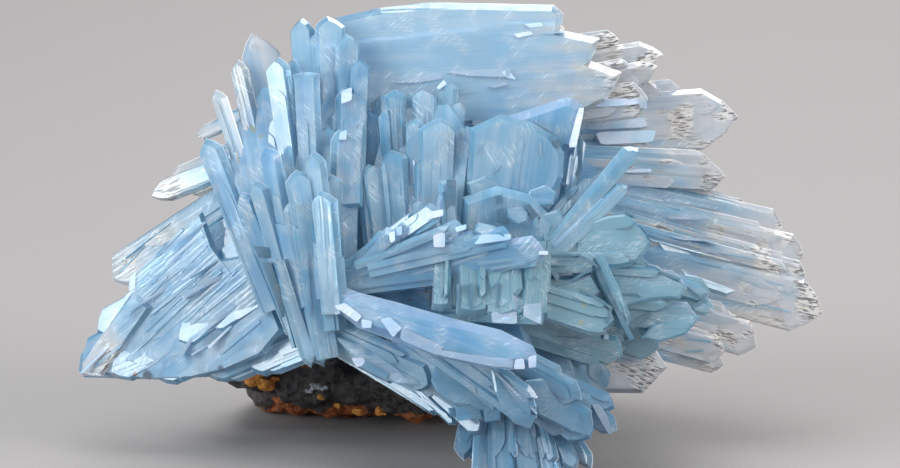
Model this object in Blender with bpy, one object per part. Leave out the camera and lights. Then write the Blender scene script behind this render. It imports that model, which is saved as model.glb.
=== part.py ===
"""Blue barite: a spray of tabular crystals grown together, on a goethite and limonite matrix.

Metres, +Z up, +X to the right and +Y away from the front. The specimen rests on z = 0, on the
cut foot of the matrix behind and on the ends of the lowest crystals in front.
"""
import math
import random

import bmesh
import bpy
from mathutils import Matrix, Vector, noise

MM = 0.001
FOOTPRINT_CENTRE = 6.1 * MM
FRONT_TILT = math.radians(12.0)
FRONT_DISTANCE = 900.0 * MM
FRONT_AIM = 34.0 * MM
GAP = 0.3 * MM
JITTER = 0.06 * MM
TURN_JITTER = 3.0
# A crystal's outline: its root's share of its width, how far its point may lean aside, and where
# the sides of its tip turn, as shares of the tip's length and of its half width.
ROOT_SHARE = 0.78
APEX_LEAN = 0.8
TIP_TURN = 0.42
TURN_RISE = 0.44
# Its bevels: their width, at most, and as a share of its thickness and of its width, and how far
# they draw its point back, in bevel widths.
BEVEL_MOST = 0.9 * MM
BEVEL_SHARE = 0.34
BEVEL_OF_WIDTH = 0.28
POINT_PULL = 1.2
# A crystal narrower than this keeps a plain pointed tip.
PLAIN_BELOW = 5.5
# The root of the back fan, how far its crystals spread from it and how they turn and taper.
BACK_ROOT = (0.0, 31.0, 8.0)
BACK_SPREAD = 4.0
BACK_TURN = 35.0
BACK_LEAN = 0.5
BACK_BLUNT = (0.35, 0.6)
HEART_BLUNT = 0.4
# The matrix: how rough its lumps are, as shares of their size, at which scales.
COARSE_ROUGH, COARSE_SCALE = 0.22, 1.7
FINE_ROUGH, FINE_SCALE = 0.10, 4.1
SMALL_LUMP = 9.5
SEED_STEP = Vector((7.3, 3.1, 5.7))
WELD = 0.002 * MM
SLIVER = 0.001 * MM
FLAT = math.radians(0.8)

# Each crystal: its tip, its root, width, thickness, turn of its broad face from the front in
# degrees, the side that its apex leans to (1 is counter-clockwise) and the length of its tip
# in widths. Tips and roots are millimetres across, up as seen from the front, and deep.
RIGHT_FAN = [
    ((18.6, 65.1, 11), (-22, 60, 9), 8.0, 3.2, 8, 0.8, 0.20),
    ((27.2, 64.2, 10), (-22, 58, 8), 7.0, 3.0, 12, 0.6, 0.25),
    ((34.1, 63.5, 9), (-22, 55, 7), 5.2, 3.0, 10, 0.0, 0.70),
    ((33.3, 60.8, 7), (-22, 52, 6), 4.2, 2.6, 16, 0.5, 0.60),
    ((31.7, 56.4, 3), (-20, 50, 4), 6.0, 2.6, 8, 0.0, 0.35),
    ((46.2, 53.4, 10), (-14, 50, 6), 10.0, 3.4, 6, 0.0, 0.60),
    ((38.4, 47.2, 8), (3, 46.5, 3), 3.2, 2.4, 10, 0.4, 0.60),
    ((44.0, 43.7, 6), (1.6, 46.5, 2), 5.0, 3.0, 12, 0.1, 0.50),
    ((53.9, 35.2, 8), (4.8, 46.5, 2), 6.2, 3.2, 14, -0.5, 0.50),
    ((56.8, 31.5, 6), (6.4, 43.4, 1), 5.6, 3.0, 10, -0.2, 0.50),
    ((57.1, 27.2, 4), (4.8, 40.0, 0), 6.0, 3.0, 14, 0.0, 0.35),
    ((59.7, 22.4, 3), (4.8, 35.4, -2), 9.0, 3.4, 8, -0.1, 0.50),
    ((49.3, 17.4, 0), (8.0, 29.0, -4), 6.0, 3.0, 12, -0.3, 0.40),
    ((44.0, 15.8, -2), (11.2, 24.2, -6), 5.0, 3.0, 10, 0.0, 0.40),
    ((43.8, 13.6, -1), (20.0, 19.4, -4), 3.4, 2.4, 16, 0.2, 0.50),
]
LEFT_UPRIGHT_FAN = [
    ((-38.9, 50.1, -6), (-28.0, 22.6, -12), 4.4, 3.0, -30, 0.1, 0.50),
    ((-37.3, 57.9, -3), (-26.4, 24.2, -11), 2.8, 2.4, -25, 0.2, 0.60),
    ((-34.1, 62.6, 0), (-25.3, 24.2, -10), 3.2, 2.6, -20, -0.2, 0.60),
    ((-31.0, 67.0, 4), (-22.4, 22.6, -8), 6.2, 3.0, 10, 0.3, 0.60),
    ((-27.7, 63.0, -3), (-22.0, 22.6, -12), 4.2, 3.0, -25, -0.2, 0.45),
    ((-23.8, 69.3, 2), (-20.5, 24.2, -9), 4.2, 3.0, -12, -0.1, 0.50),
    ((-19.3, 69.6, -0.5), (-18.4, 25.8, -8), 4.8, 3.0, 8, 0.2, 0.35),
    ((-16.6, 66.8, -1.5), (-16.8, 27.4, -7), 4.4, 3.0, 14, 0.0, 0.40),
    ((-17.1, 63.7, -1), (-17.6, 24.2, -10), 3.8, 2.8, -15, 0.0, 0.35),
    ((-14.5, 62.7, -2.5), (-15.2, 25.8, -10), 3.4, 2.8, 12, 0.0, 0.40),
    ((-23.0, 60.6, -5), (-21.1, 21.0, -14), 4.4, 3.0, -15, 0.0, 0.08),
    ((-15.8, 58.1, -4), (-16.8, 22.6, -12), 5.2, 3.0, 18, 0.6, 0.35),
    ((-16.6, 51.4, -9), (-17.6, 21.0, -15), 5.2, 3.0, 20, 0.6, 0.35),
    ((-21.8, 48.0, -14), (-17.9, 19.4, -18), 3.6, 2.8, -20, 0.0, 0.50),
    ((-33.1, 41.6, -10), (-24.0, 19.4, -15), 3.4, 2.8, -30, 0.2, 0.50),
    ((-30.9, 43.4, -12), (-23.2, 17.0, -16), 3.4, 2.8, -24, 0.2, 0.50),
    ((-28.9, 48.8, -11), (-22.7, 16.2, -16), 3.6, 2.8, -28, 0.5, 0.40),
    ((-24.6, 45.0, -15), (-19.5, 15.0, -18), 4.2, 3.0, 15, 0.0, 0.40),
    ((-20.2, 41.8, -17), (-18.4, 22.0, -20), 4.4, 3.0, -18, 0.4, 0.40),
    ((-20.8, 13.2, -16), (-26.0, 31.0, -14), 4.6, 3.2, -12, 0.4, 0.80),
]
LEFT_SPIKES = [
    ((-47.7, 40.8, 10), (-24.0, 50.0, -2), 4.2, 2.4, 14, 0.2, 0.90),
    ((-44.6, 43.6, 11), (-24.0, 53.0, -1), 2.8, 2.2, -10, 0.0, 0.80),
    ((-40.5, 50.2, 8), (-25.0, 58.0, -1), 2.6, 2.2, 10, 0.0, 0.80),
]
LOWER_LEFT_FAN = [
    ((-54.2, 27.8, 4), (-24.0, 48.0, 0), 6.2, 3.0, 10, 0.3, 0.35),
    ((-51.5, 25.0, 1), (-22.4, 43.4, -3), 5.2, 3.0, 16, 0.2, 0.40),
    ((-47.4, 23.0, -3), (-21.0, 40.2, -7), 4.6, 2.8, 20, 0.3, 0.50),
    ((-56.4, 19.0, 0), (-24.0, 37.8, -5), 6.0, 3.0, 14, 0.0, 0.45),
    ((-59.1, 14.0, 0), (-24.0, 33.8, -5), 6.2, 3.0, 8, 0.2, 0.50),
    ((-43.5, 17.6, -6), (-20.0, 31.8, -10), 5.0, 2.8, 18, 0.2, 0.50),
    ((-54.4, 12.7, -2), (-22.0, 28.0, -8), 6.0, 3.0, 12, 0.2, 0.50),
    ((-46.7, 11.9, -4), (-19.0, 24.0, -9), 5.0, 2.8, 16, 0.3, 0.50),
    ((-38.7, 12.4, -6), (-17.0, 21.0, -10), 5.0, 2.8, 10, 0.3, 0.50),
    ((-31.8, 13.2, -8), (-15.0, 20.0, -12), 4.4, 2.8, 16, 0.2, 0.50),
]
CENTRE_UPRIGHTS = [
    ((-10.9, 57.1, -1), (-8.0, 29.0, -8), 2.8, 2.4, -20, 0.0, 0.40),
    ((-8.9, 57.8, -4), (-7.2, 29.0, -9), 3.4, 2.6, 10, 0.0, 0.30),
    ((-6.4, 57.4, -1), (-5.6, 30.0, -7), 2.6, 2.4, -15, 0.0, 0.50),
    ((-4.0, 57.7, -3), (-4.6, 30.6, -9), 3.9, 2.6, 8, 0.3, 0.30),
    ((-0.4, 59.3, -1), (-1.6, 32.0, -8), 3.6, 2.6, -12, 0.4, 0.35),
    ((1.2, 55.8, -3), (-0.6, 31.0, -9), 3.0, 2.4, 16, -0.3, 0.40),
    ((-5.6, 53.2, -7), (-5.8, 29.0, -12), 3.2, 2.6, -14, 0.0, 0.30),
    ((-2.0, 53.3, -8), (-2.4, 27.4, -13), 6.2, 2.8, 12, -0.2, 0.30),
    ((-9.0, 48.2, -9), (-7.2, 25.8, -14), 4.2, 2.8, -10, 0.2, 0.35),
    ((-12.6, 46.0, -9), (-10.4, 25.8, -14), 4.0, 2.8, 14, 0.3, 0.40),
    ((-0.4, 43.4, -13), (0.2, 25.8, -18), 3.0, 2.6, 6, 0.0, 0.10),
    ((3.0, 52.0, -6), (2.4, 29.0, -12), 3.6, 2.6, -16, 0.3, 0.30),
]
DIAGONALS = [
    ((29.8, 48.8, -9), (14.0, 30.5, -16), 3.2, 2.6, 20, -0.4, 0.50),
    ((28.2, 42.8, -11), (15.5, 30.5, -17), 2.8, 2.4, 16, -0.4, 0.50),
    ((23.4, 43.6, -8), (13.0, 32.5, -14), 3.4, 2.4, -10, 0.0, 0.50),
    ((20.6, 50.6, -5), (18.0, 33.0, -10), 3.0, 2.6, 24, 0.2, 0.40),
]
MIDDLE_CLUSTER = [
    ((15.2, 32.2, -21), (-16.8, 27.5, -16), 5.2, 3.2, 14, -0.2, 0.30),
    ((-8.6, 35.3, -19), (-15.7, 28.2, -16), 3.0, 2.4, 10, 0.0, 0.25),
    ((-1.9, 38.7, -18), (-15.7, 29.0, -15), 3.4, 2.6, -14, 0.0, 0.20),
    ((2.1, 36.0, -20), (-14.4, 29.0, -17), 3.0, 2.4, 18, 0.0, 0.20),
    ((9.8, 34.3, -21), (-12.8, 29.0, -18), 3.8, 2.6, 8, 0.0, 0.20),
    ((-1.3, 22.4, -22), (-1.1, 31.4, -18), 3.4, 2.8, 8, 0.0, 0.10),
    ((3.5, 21.4, -23), (3.2, 31.4, -18), 5.0, 3.0, -8, 0.0, 0.10),
    ((8.5, 21.0, -23), (8.0, 32.2, -18), 5.4, 3.0, 10, 0.0, 0.12),
    ((13.3, 21.0, -22), (13.6, 33.4, -18), 4.8, 3.0, -14, 0.0, 0.12),
    ((15.0, 21.4, -23), (-1.5, 21.8, -20), 2.6, 2.6, 20, 0.0, 0.10),
]
RIGHT_CENTRE = [
    ((29.8, 36.8, -11), (14.0, 34.6, -14), 3.2, 2.4, 10, 0.0, 0.45),
    ((32.1, 33.2, -13), (15.0, 32.5, -15), 5.4, 2.8, -8, 0.0, 0.45),
    ((37.9, 25.8, -13), (17.0, 27.6, -14), 5.8, 3.0, 10, 0.1, 0.45),
    ((41.7, 25.3, -9), (14.0, 31.0, -13), 4.0, 2.8, -6, -0.1, 0.45),
    ((42.4, 22.8, -8), (16.0, 27.0, -11), 3.0, 2.6, 14, 0.0, 0.50),
    ((39.8, 20.8, -13), (18.0, 22.6, -14), 4.4, 2.8, 12, 0.2, 0.45),
    ((28.3, 19.2, -17), (22.8, 31.0, -15), 5.6, 1.8, 74, 0.0, 0.40),
    ((23.9, 30.2, -17), (10.0, 30.0, -15), 3.4, 2.6, 10, 0.0, 0.45),
    ((26.6, 20.4, -18), (12.0, 25.0, -18), 5.0, 2.8, -10, 0.2, 0.40),
    ((33.6, 16.4, -11), (14.0, 23.0, -12), 5.6, 3.0, 10, 0.0, 0.40),
    ((27.8, 15.6, -14), (10.0, 20.8, -16), 5.0, 2.8, 16, -0.2, 0.40),
]
FRONT_BLADES = [
    ((-2.2, 11.0, -23), (-21.6, 19.9, -14), 5.2, 3.0, 24, -0.2, 0.40),
    ((-0.2, 7.2, -20), (-17.5, 17.8, -10), 5.2, 3.0, 14, -0.2, 0.30),
    ((8.3, 6.0, -26), (-8.0, 17.0, -19), 6.4, 3.2, 22, -0.1, 0.35),
    ((5.9, 3.2, -24), (-6.0, 13.5, -16), 4.4, 3.0, 10, -0.4, 0.40),
    ((14.1, 5.6, -29), (-1.6, 17.0, -23), 5.0, 3.0, 26, -0.2, 0.50),
    ((21.1, 8.2, -26), (4.8, 17.0, -21), 4.6, 3.0, 16, 0.0, 0.45),
    ((22.9, 2.4, -26), (6.4, 14.6, -21), 6.4, 3.0, 14, -0.2, 0.40),
    ((26.4, 6.8, -21), (9.0, 15.0, -18), 3.6, 2.6, -8, 0.0, 0.50),
    ((26.7, 3.2, -22), (11.0, 14.0, -18), 3.6, 2.6, 12, 0.0, 0.50),
]
FRONT_FEET = [
    ((2.0, -1.6, -23), (3.6, 9.5, -17), 3.4, 2.6, 10, 0.2, 0.60),
    ((5.2, -5.2, -26), (5.6, 9.5, -19), 3.8, 2.8, -14, 0.0, 0.50),
    ((8.7, -6.2, -27.5), (8.2, 10.0, -20), 4.2, 3.0, 12, 0.2, 0.45),
    ((12.7, -6.5, -27.5), (10.6, 10.0, -20), 4.2, 3.0, -8, -0.2, 0.45),
    ((16.6, -6.1, -27), (12.8, 10.0, -19), 3.8, 2.8, 14, 0.2, 0.50),
    ((19.8, -3.6, -26), (14.6, 9.5, -18), 3.2, 2.6, -10, 0.0, 0.60),
    ((22.7, -2.8, -24), (15.6, 8.5, -17), 2.8, 2.4, 16, 0.0, 0.70),
]
# The sides that do not show from the front: tip, width and thickness, from one root.
BACK_FAN = [
    ((-30, 57, 17), 7, 3.2), ((-18, 63, 22), 8, 3.4), ((-4, 66, 24), 9, 3.4),
    ((9, 66, 24), 9, 3.4), ((21, 62, 23), 9, 3.2), ((31, 55, 22), 8, 3.4),
    ((40, 47, 20), 8, 3.2), ((46, 39, 20), 8, 3.4), ((50, 31, 18), 8, 3.2),
    ((50, 24, 14), 8, 3.4), ((44, 18, 12), 7, 3.2), ((-20, 50, 30), 8, 3.4),
    ((-5, 55, 34), 9, 3.6), ((10, 53, 34), 9, 3.6), ((24, 46, 32), 8, 3.4),
    ((38, 28, 26), 8, 3.4), ((34, 19, 22), 7, 3.2),
    ((-40, 44, 14), 7, 3.0), ((-44, 35, 13), 7, 3.2), ((-47, 26, 10), 7, 3.0),
    ((-42, 18, 10), 7, 3.2), ((-34, 27, 24), 8, 3.2),
    ((-22, 36, 31), 8, 3.4), ((20, 30, 36), 8, 3.4), ((4, 38, 38), 8, 3.6),
    ((-12, 33, 34), 8, 3.4), ((30, 22, 31), 7, 3.4),
]
# Broad plates by their outlines, in millimetres across and up, then the depth of their middle,
# how far they go back per millimetre up and across, their thickness and their bevel.
TOP_PLATE = [(-17.6, 52.5), (17.0, 52.0), (25.0, 56.0), (27.5, 60.6), (22.5, 62.4), (24.0, 66.0),
             (17.6, 67.4), (18.2, 70.0), (16.5, 71.4), (-3.2, 71.8), (-11.2, 70.9), (-18.4, 69.3)]
LOWER_LEFT_PLATE = [(-58.6, 11.8), (-47.0, 11.4), (-33.0, 12.2), (-22.0, 20.0), (-24.0, 38.0),
                    (-39.7, 31.0), (-51.7, 25.1), (-59.1, 15.4), (-59.4, 12.9)]
SHOULDER_PLATE = [(8.0, 37.8), (16.3, 40.0), (18.4, 44.6), (18.6, 47.8), (20.6, 50.1),
                  (21.3, 55.2), (19.4, 56.6), (18.2, 56.5), (8.8, 53.4)]
CENTRE_PLATE = [(2.4, 39.0), (16.0, 39.6), (18.1, 43.8), (18.2, 47.8), (16.5, 50.4),
                (13.3, 52.5), (8.2, 53.9), (3.2, 51.7)]
HIP_PLATE = [(1.8, 29.5), (15.0, 29.5), (17.0, 36.6), (13.0, 41.0), (7.5, 42.4), (2.0, 40.6)]
GREY_PLATE = [(21.4, 11.9), (24.6, 9.3), (30.9, 9.2), (34.8, 13.4), (33.1, 16.0),
              (29.1, 17.6), (21.4, 17.8)]
LONG_BLADE = [(-20.4, 24.4), (-14.9, 19.8), (-8.1, 17.2), (-1.7, 15.0), (3.7, 13.7), (9.1, 13.0),
              (13.8, 13.4), (13.9, 15.4), (13.3, 16.8), (8.1, 19.4), (0.5, 21.2), (-8.5, 23.8),
              (-14.7, 25.4), (-20.0, 27.5)]
PLATES = [
    (TOP_PLATE, 2.6, 0.10, 0.0, 4.4, 0.9),
    (LOWER_LEFT_PLATE, 2.2, 0.06, 0.0, 4.0, 0.9),
    (SHOULDER_PLATE, -6.2, 0.12, 0.0, 4.0, 1.2),
    (CENTRE_PLATE, -10.4, 0.10, 0.0, 4.0, 0.9),
    (HIP_PLATE, -13.5, -0.05, 0.0, 4.0, 0.9),
    (GREY_PLATE, -8.6, 0.10, 0.0, 3.4, 0.9),
    (LONG_BLADE, -24.6, 0.30, -0.30, 4.4, 1.4),
]
# The heart of the spray, where the crystals of all the fans grow through one another.
HEART = [
    ((12, 60, 6), (-6, 22, 0), 20, 9, 4), ((-14, 56, 2), (-12, 20, -4), 14, 9, -8),
    ((26, 42, 6), (-6, 36, -2), 18, 8, 10), ((30, 26, 0), (-8, 28, -6), 13, 8, 12),
    ((-34, 24, -1), (2, 32, -3), 14, 7, 8), ((14, 14, -16), (-10, 26, -10), 14, 8, 14),
    ((18, 22, 8), (-12, 40, 14), 22, 12, 0), ((-16, 34, 16), (12, 44, 14), 18, 10, 6),
    ((21, 11, -13), (-8, 24, -8), 10, 6, 10), ((14, 8, -17), (-6, 20, -12), 9, 5, 8),
]
# Each lump of the matrix: its middle, its half sizes and its seed.
ROCK_LUMPS = [
    ((-14, 33, 1), (18, 11, 14), 1), ((4, 32, 1), (15, 11, 13), 2),
    ((-17, 21, 6.8), (13, 8, 6.6), 3), ((-26, 27, 5.5), (9, 8, 7.5), 4),
    ((-6, 17, 7.2), (10, 7, 6.4), 5), ((-31, 20, 9.6), (6.5, 5.5, 4.6), 6),
    ((-4, 25, 15), (12, 11, 13), 7), ((9, 23, 13), (11, 10, 12), 8),
]


def sight(across, up):
    """The eye in front, and its line through the place this far across and up."""
    eye = Vector((0.0, -math.cos(FRONT_TILT), math.sin(FRONT_TILT))) * FRONT_DISTANCE
    eye.z += FRONT_AIM
    rise = up * MM - FRONT_AIM * math.cos(FRONT_TILT)
    seen = Vector((across * MM, rise * math.sin(FRONT_TILT), rise * math.cos(FRONT_TILT)))
    seen.z += FRONT_AIM
    return eye, seen - eye


def front_point(across, up, depth):
    """The point that stands this far across and up as seen from the front, at this depth."""
    eye, ray = sight(across, up)
    return eye + ray * ((depth * MM - eye.y) / ray.y)


def on_plane(across, up, point, normal):
    """The point of a plane that stands this far across and up as seen from the front."""
    eye, ray = sight(across, up)
    return eye + ray * ((point - eye).dot(normal) / ray.dot(normal))


def tip_outline(length, width, lean, blunt, plain=False):
    """A crystal's outline in its plane: a narrower root, straight sides, a gothic tip."""
    half = width / 2
    tip = blunt * width
    apex = lean * half * APEX_LEAN
    root = half * ROOT_SHARE
    near = length - tip
    if plain:
        return [(0.0, -root), (near, -half), (length, apex), (near, half), (0.0, root)]
    turn = length - tip * TIP_TURN
    return [
        (0.0, -root), (near, -half), (turn, -half + (half + apex) * TURN_RISE), (length, apex),
        (turn, half - (half - apex) * TURN_RISE), (near, half), (0.0, root),
    ]


def inset(outline, distance):
    """The same outline with every side moved inwards, for one that runs counter-clockwise."""
    points = [Vector(point) for point in outline]
    moved = []
    for before, here, after in zip([points[-1]] + points, points, points[1:] + points[:1]):
        into = (here - before).normalized()
        out = (after - here).normalized()
        inwards = Vector((-into.y - out.y, into.x + out.x)).normalized()
        moved.append(here + inwards * (distance / inwards.dot(Vector((-into.y, into.x)))))
    return moved


def slab(outline, inner, origin, along, across, normal, thickness):
    """A plate with bevelled rims: the outline at mid thickness, the inner one on both faces."""
    mesh = bmesh.new()
    half = thickness / 2
    rings = []
    for height, points in ((-half, inner), (0.0, outline), (half, inner)):
        base = origin + normal * height
        rings.append([mesh.verts.new(base + along * u + across * v) for u, v in points])
    count = len(outline)
    for lower, upper in zip(rings, rings[1:]):
        for i in range(count):
            j = (i + 1) % count
            mesh.faces.new((lower[i], lower[j], upper[j], upper[i]))
    mesh.faces.new(list(reversed(rings[0])))
    mesh.faces.new(rings[-1])
    bmesh.ops.recalc_face_normals(mesh, faces=mesh.faces)
    return mesh


def keep(mesh, name):
    """Turn a finished mesh into an object."""
    data = bpy.data.meshes.new(name)
    mesh.to_mesh(data)
    mesh.free()
    solid = bpy.data.objects.new(name, data)
    bpy.context.scene.collection.objects.link(solid)
    return solid


def crystal(tip, root, width, thickness, turn, lean, blunt, rng, plain=False):
    """One tabular crystal from its root to its tip."""
    end = front_point(*tip)
    start = front_point(*root)
    shake = Vector([rng.uniform(-JITTER, JITTER) for _ in range(3)])
    along = (end - start).normalized()
    facing = Vector((0.0, -math.cos(FRONT_TILT), math.sin(FRONT_TILT)))
    across = facing.cross(along).normalized()
    normal = along.cross(across)
    angle = math.radians(turn + rng.uniform(-TURN_JITTER, TURN_JITTER))
    side = across * math.cos(angle) + normal * math.sin(angle)
    face = along.cross(side)
    plain = plain or width < PLAIN_BELOW
    length = (end - start).length
    bevel = min(BEVEL_MOST, thickness * MM * BEVEL_SHARE, width * MM * BEVEL_OF_WIDTH)
    outline = tip_outline(length, width * MM, lean, blunt, plain)
    inner = tip_outline(length - POINT_PULL * bevel, width * MM - 2 * bevel, lean, blunt, plain)
    return slab(outline, inner, start + shake, along, side, face, thickness * MM)


def broad_plate(outline, depth, back_per_up, back_per_across, thickness, bevel):
    """A broad plate in a plane that faces the front, by the outline that it shows there."""
    middle = [sum(values) / len(outline) for values in zip(*outline)]
    origin = front_point(*middle, depth)
    normal = Vector((back_per_across, -1.0, back_per_up)).normalized()
    across = (Vector((1.0, 0.0, 0.0)) - normal * normal.x).normalized()
    rise = normal.cross(across)
    places = [on_plane(x, up, origin, normal) - origin for x, up in outline]
    flat = [Vector((place.dot(across), place.dot(rise))) for place in places]
    return slab(flat, inset(flat, bevel * MM), origin, across, rise, normal, thickness * MM)


def crystals():
    """Every crystal of the spray, as its own closed solid."""
    rng = random.Random(12)
    solids = []
    fans = (RIGHT_FAN, LEFT_UPRIGHT_FAN, LEFT_SPIKES, LOWER_LEFT_FAN, CENTRE_UPRIGHTS, DIAGONALS,
            MIDDLE_CLUSTER, RIGHT_CENTRE, FRONT_BLADES, FRONT_FEET)
    for fan in fans:
        for row in fan:
            solids.append(keep(crystal(*row, rng), "crystal"))
    for tip, width, thickness in BACK_FAN:
        root = [a + rng.uniform(-BACK_SPREAD, BACK_SPREAD) for a in BACK_ROOT]
        turn = rng.uniform(-BACK_TURN, BACK_TURN)
        lean = rng.uniform(-BACK_LEAN, BACK_LEAN)
        back = crystal(tip, root, width, thickness, turn, lean, rng.uniform(*BACK_BLUNT), rng, True)
        solids.append(keep(back, "crystal"))
    for tip, root, width, thickness, turn in HEART:
        inner = crystal(tip, root, width, thickness, turn, 0.0, HEART_BLUNT, rng, True)
        solids.append(keep(inner, "crystal"))
    for row in PLATES:
        solids.append(keep(broad_plate(*row), "plate"))
    return solids


def boolean(base, others, operation):
    """Join or cut the base by the other solids, and remove them."""
    group = bpy.data.collections.new("operands")
    bpy.context.scene.collection.children.link(group)
    for other in others:
        bpy.context.scene.collection.objects.unlink(other)
        group.objects.link(other)
    step = base.modifiers.new("join", "BOOLEAN")
    step.operation = operation
    step.operand_type = "COLLECTION"
    step.collection = group
    step.solver = "EXACT"
    bpy.context.view_layer.update()
    graph = bpy.context.evaluated_depsgraph_get()
    result = bpy.data.meshes.new_from_object(base.evaluated_get(graph))
    base.modifiers.clear()
    base.data = result
    for other in others:
        bpy.data.objects.remove(other)
    bpy.data.collections.remove(group)
    return base


def clean(solid):
    """Weld what touches and drop slivers left by the joining."""
    mesh = bmesh.new()
    mesh.from_mesh(solid.data)
    bmesh.ops.remove_doubles(mesh, verts=mesh.verts, dist=WELD)
    bmesh.ops.dissolve_degenerate(mesh, dist=SLIVER, edges=mesh.edges)
    bmesh.ops.dissolve_limit(mesh, angle_limit=FLAT, verts=mesh.verts, edges=mesh.edges)
    bmesh.ops.triangulate(mesh, faces=mesh.faces)
    folded = {}
    for face in mesh.faces:
        folded.setdefault(frozenset(face.verts), []).append(face)
    closed_up = [face for faces in folded.values() if len(faces) > 1 for face in faces]
    bmesh.ops.delete(mesh, geom=closed_up, context="FACES")
    mesh.to_mesh(solid.data)
    mesh.free()


def lump(name, centre, size, seed, grow=0.0):
    """A rough lump of rock round this centre, flat below z = 0."""
    mesh = bmesh.new()
    detail = 2 if max(size) > SMALL_LUMP else 1
    bmesh.ops.create_icosphere(mesh, subdivisions=detail, radius=1.0)
    shift = SEED_STEP * seed
    for vert in mesh.verts:
        rough = 1.0 + COARSE_ROUGH * noise.noise(vert.co * COARSE_SCALE + shift)
        rough += FINE_ROUGH * noise.noise(vert.co * FINE_SCALE + shift)
        place = Vector([vert.co[i] * size[i] * MM * rough for i in range(3)])
        place += Vector(centre) * MM + vert.co * grow
        place.z = max(place.z, -grow)
        vert.co = place
    return keep(mesh, name)


def rock(grow=0.0):
    """The matrix: joined lumps of goethite, cut off flat where it rests."""
    lumps = [lump("matrix_rock", c, s, seed, grow) for c, s, seed in ROCK_LUMPS]
    return boolean(lumps[0], lumps[1:], "UNION")


def paint(solid, name, colour, roughness, transmission=0.0, ior=1.5):
    """Give a solid its material."""
    material = bpy.data.materials.new(name)
    material.use_nodes = True
    shader = material.node_tree.nodes["Principled BSDF"]
    shader.inputs["Base Color"].default_value = (*colour, 1.0)
    shader.inputs["Roughness"].default_value = roughness
    shader.inputs["Metallic"].default_value = 0.0
    shader.inputs["Transmission Weight"].default_value = transmission
    shader.inputs["IOR"].default_value = ior
    solid.data.materials.clear()
    solid.data.materials.append(material)
    for polygon in solid.data.polygons:
        polygon.material_index = 0
        polygon.use_smooth = False


def main():
    for old in list(bpy.data.objects):
        bpy.data.objects.remove(old)
    matrix = rock()
    clean(matrix)
    socket = rock(GAP)
    solids = crystals()
    cluster = boolean(solids[0], solids[1:], "UNION")
    cluster = boolean(cluster, [socket], "DIFFERENCE")
    clean(cluster)
    for solid in (cluster, matrix):
        solid.data.transform(Matrix.Translation((0.0, -FOOTPRINT_CENTRE, 0.0)))
    cluster.name = "barite_cluster"
    matrix.name = "matrix_rock"
    paint(cluster, "barite", (0.46, 0.68, 0.80), 0.12, 0.5, 1.64)
    paint(matrix, "goethite", (0.035, 0.028, 0.024), 0.8)


main()
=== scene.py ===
"""The looks of the blue barite: clear and milky crystals, their growth steps and their matrix."""
import math
import random

import bmesh
import bpy
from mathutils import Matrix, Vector, noise
from mathutils.bvhtree import BVHTree


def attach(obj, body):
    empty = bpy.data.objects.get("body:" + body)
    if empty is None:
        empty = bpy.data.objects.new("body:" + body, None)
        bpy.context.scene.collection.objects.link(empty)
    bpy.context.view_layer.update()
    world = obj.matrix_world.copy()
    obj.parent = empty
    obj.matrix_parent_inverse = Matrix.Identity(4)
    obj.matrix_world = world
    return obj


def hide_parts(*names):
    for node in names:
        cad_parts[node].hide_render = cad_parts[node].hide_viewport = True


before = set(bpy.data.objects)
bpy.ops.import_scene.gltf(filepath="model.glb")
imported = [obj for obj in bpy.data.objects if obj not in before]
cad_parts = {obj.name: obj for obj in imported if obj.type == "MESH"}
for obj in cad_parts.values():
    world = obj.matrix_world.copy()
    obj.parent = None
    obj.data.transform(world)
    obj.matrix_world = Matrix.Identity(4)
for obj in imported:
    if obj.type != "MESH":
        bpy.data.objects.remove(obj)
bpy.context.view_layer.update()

MM = 0.001
FOOTPRINT_CENTRE = 6.1 * MM
FRONT_TILT = math.radians(12.0)
FRONT_DISTANCE = 900.0 * MM
FRONT_AIM = 34.0 * MM
PHOTO_WIDTH = 900
PHOTO_HEIGHT = 468
PHOTO_SCALE = 0.16 * MM
PHOTO_GROUND_ROW = 451
# A crystal's outline: its root's share of its width, how far its point may lean aside, and where
# the sides of its tip turn, as shares of the tip's length and of its half width.
ROOT_SHARE = 0.78
APEX_LEAN = 0.8
TIP_TURN = 0.42
TURN_RISE = 0.44
# Its bevels: their width, at most, and as a share of its thickness and of its width, and how far
# they draw its point back, in bevel widths.
BEVEL_MOST = 0.6 * MM
BEVEL_SHARE = 0.26
BEVEL_OF_WIDTH = 0.28
POINT_PULL = 1.2
STEP_BEVEL = 0.12 * MM
RIM_WIDTH = 0.08 * MM
PANE_BEVEL = 0.35 * MM
# Where along a thin crystal its surface has to be met for it to lie flush, and how nearly.
FLUSH_AT = (-0.5, -0.25, 0.0, 0.25, 0.48)
FLUSH_WITHIN = 0.6 * MM
# How much of each side a bright facet's worn corners take; bright facets are painted highlights.
WORN = 0.10
# Which facet of a crystal a face belongs to, as the material reads it.
# BRIGHT and PALE faces are coloured as painted highlights, DARK faces as painted shade.
BROAD, BEVEL, RIM, BRIGHT, DARK, PALE = 0.0, 1.0, 2.0, 3.0, 4.0, 5.0
BLUE_DEEP = (0.22, 0.50, 0.76)
BLUE_MILK = (0.38, 0.67, 0.87)
BLUE_PALE = (0.66, 0.82, 0.93)
# Painted shade for the bevels.
BLUE_PAINTED_SIDE_SHADE = (0.18, 0.42, 0.60)
# Painted shade for the low front of the spray.
BLUE_PAINTED_SHADE = (0.08, 0.24, 0.40)
GREY_GREEN = (0.30, 0.53, 0.60)
# Painted sheen for some bevels.
PAINTED_SHEEN_LILAC = (0.58, 0.68, 0.93)
# Painted highlight colour for glints, streaks and pale facets.
PAINTED_HIGHLIGHT_WHITE = (0.74, 0.77, 0.93)
CLEAR_TIP = (0.77, 0.79, 0.82)
BEIGE = (0.81, 0.77, 0.71)
WHITE = (0.94, 0.95, 0.98)
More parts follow.
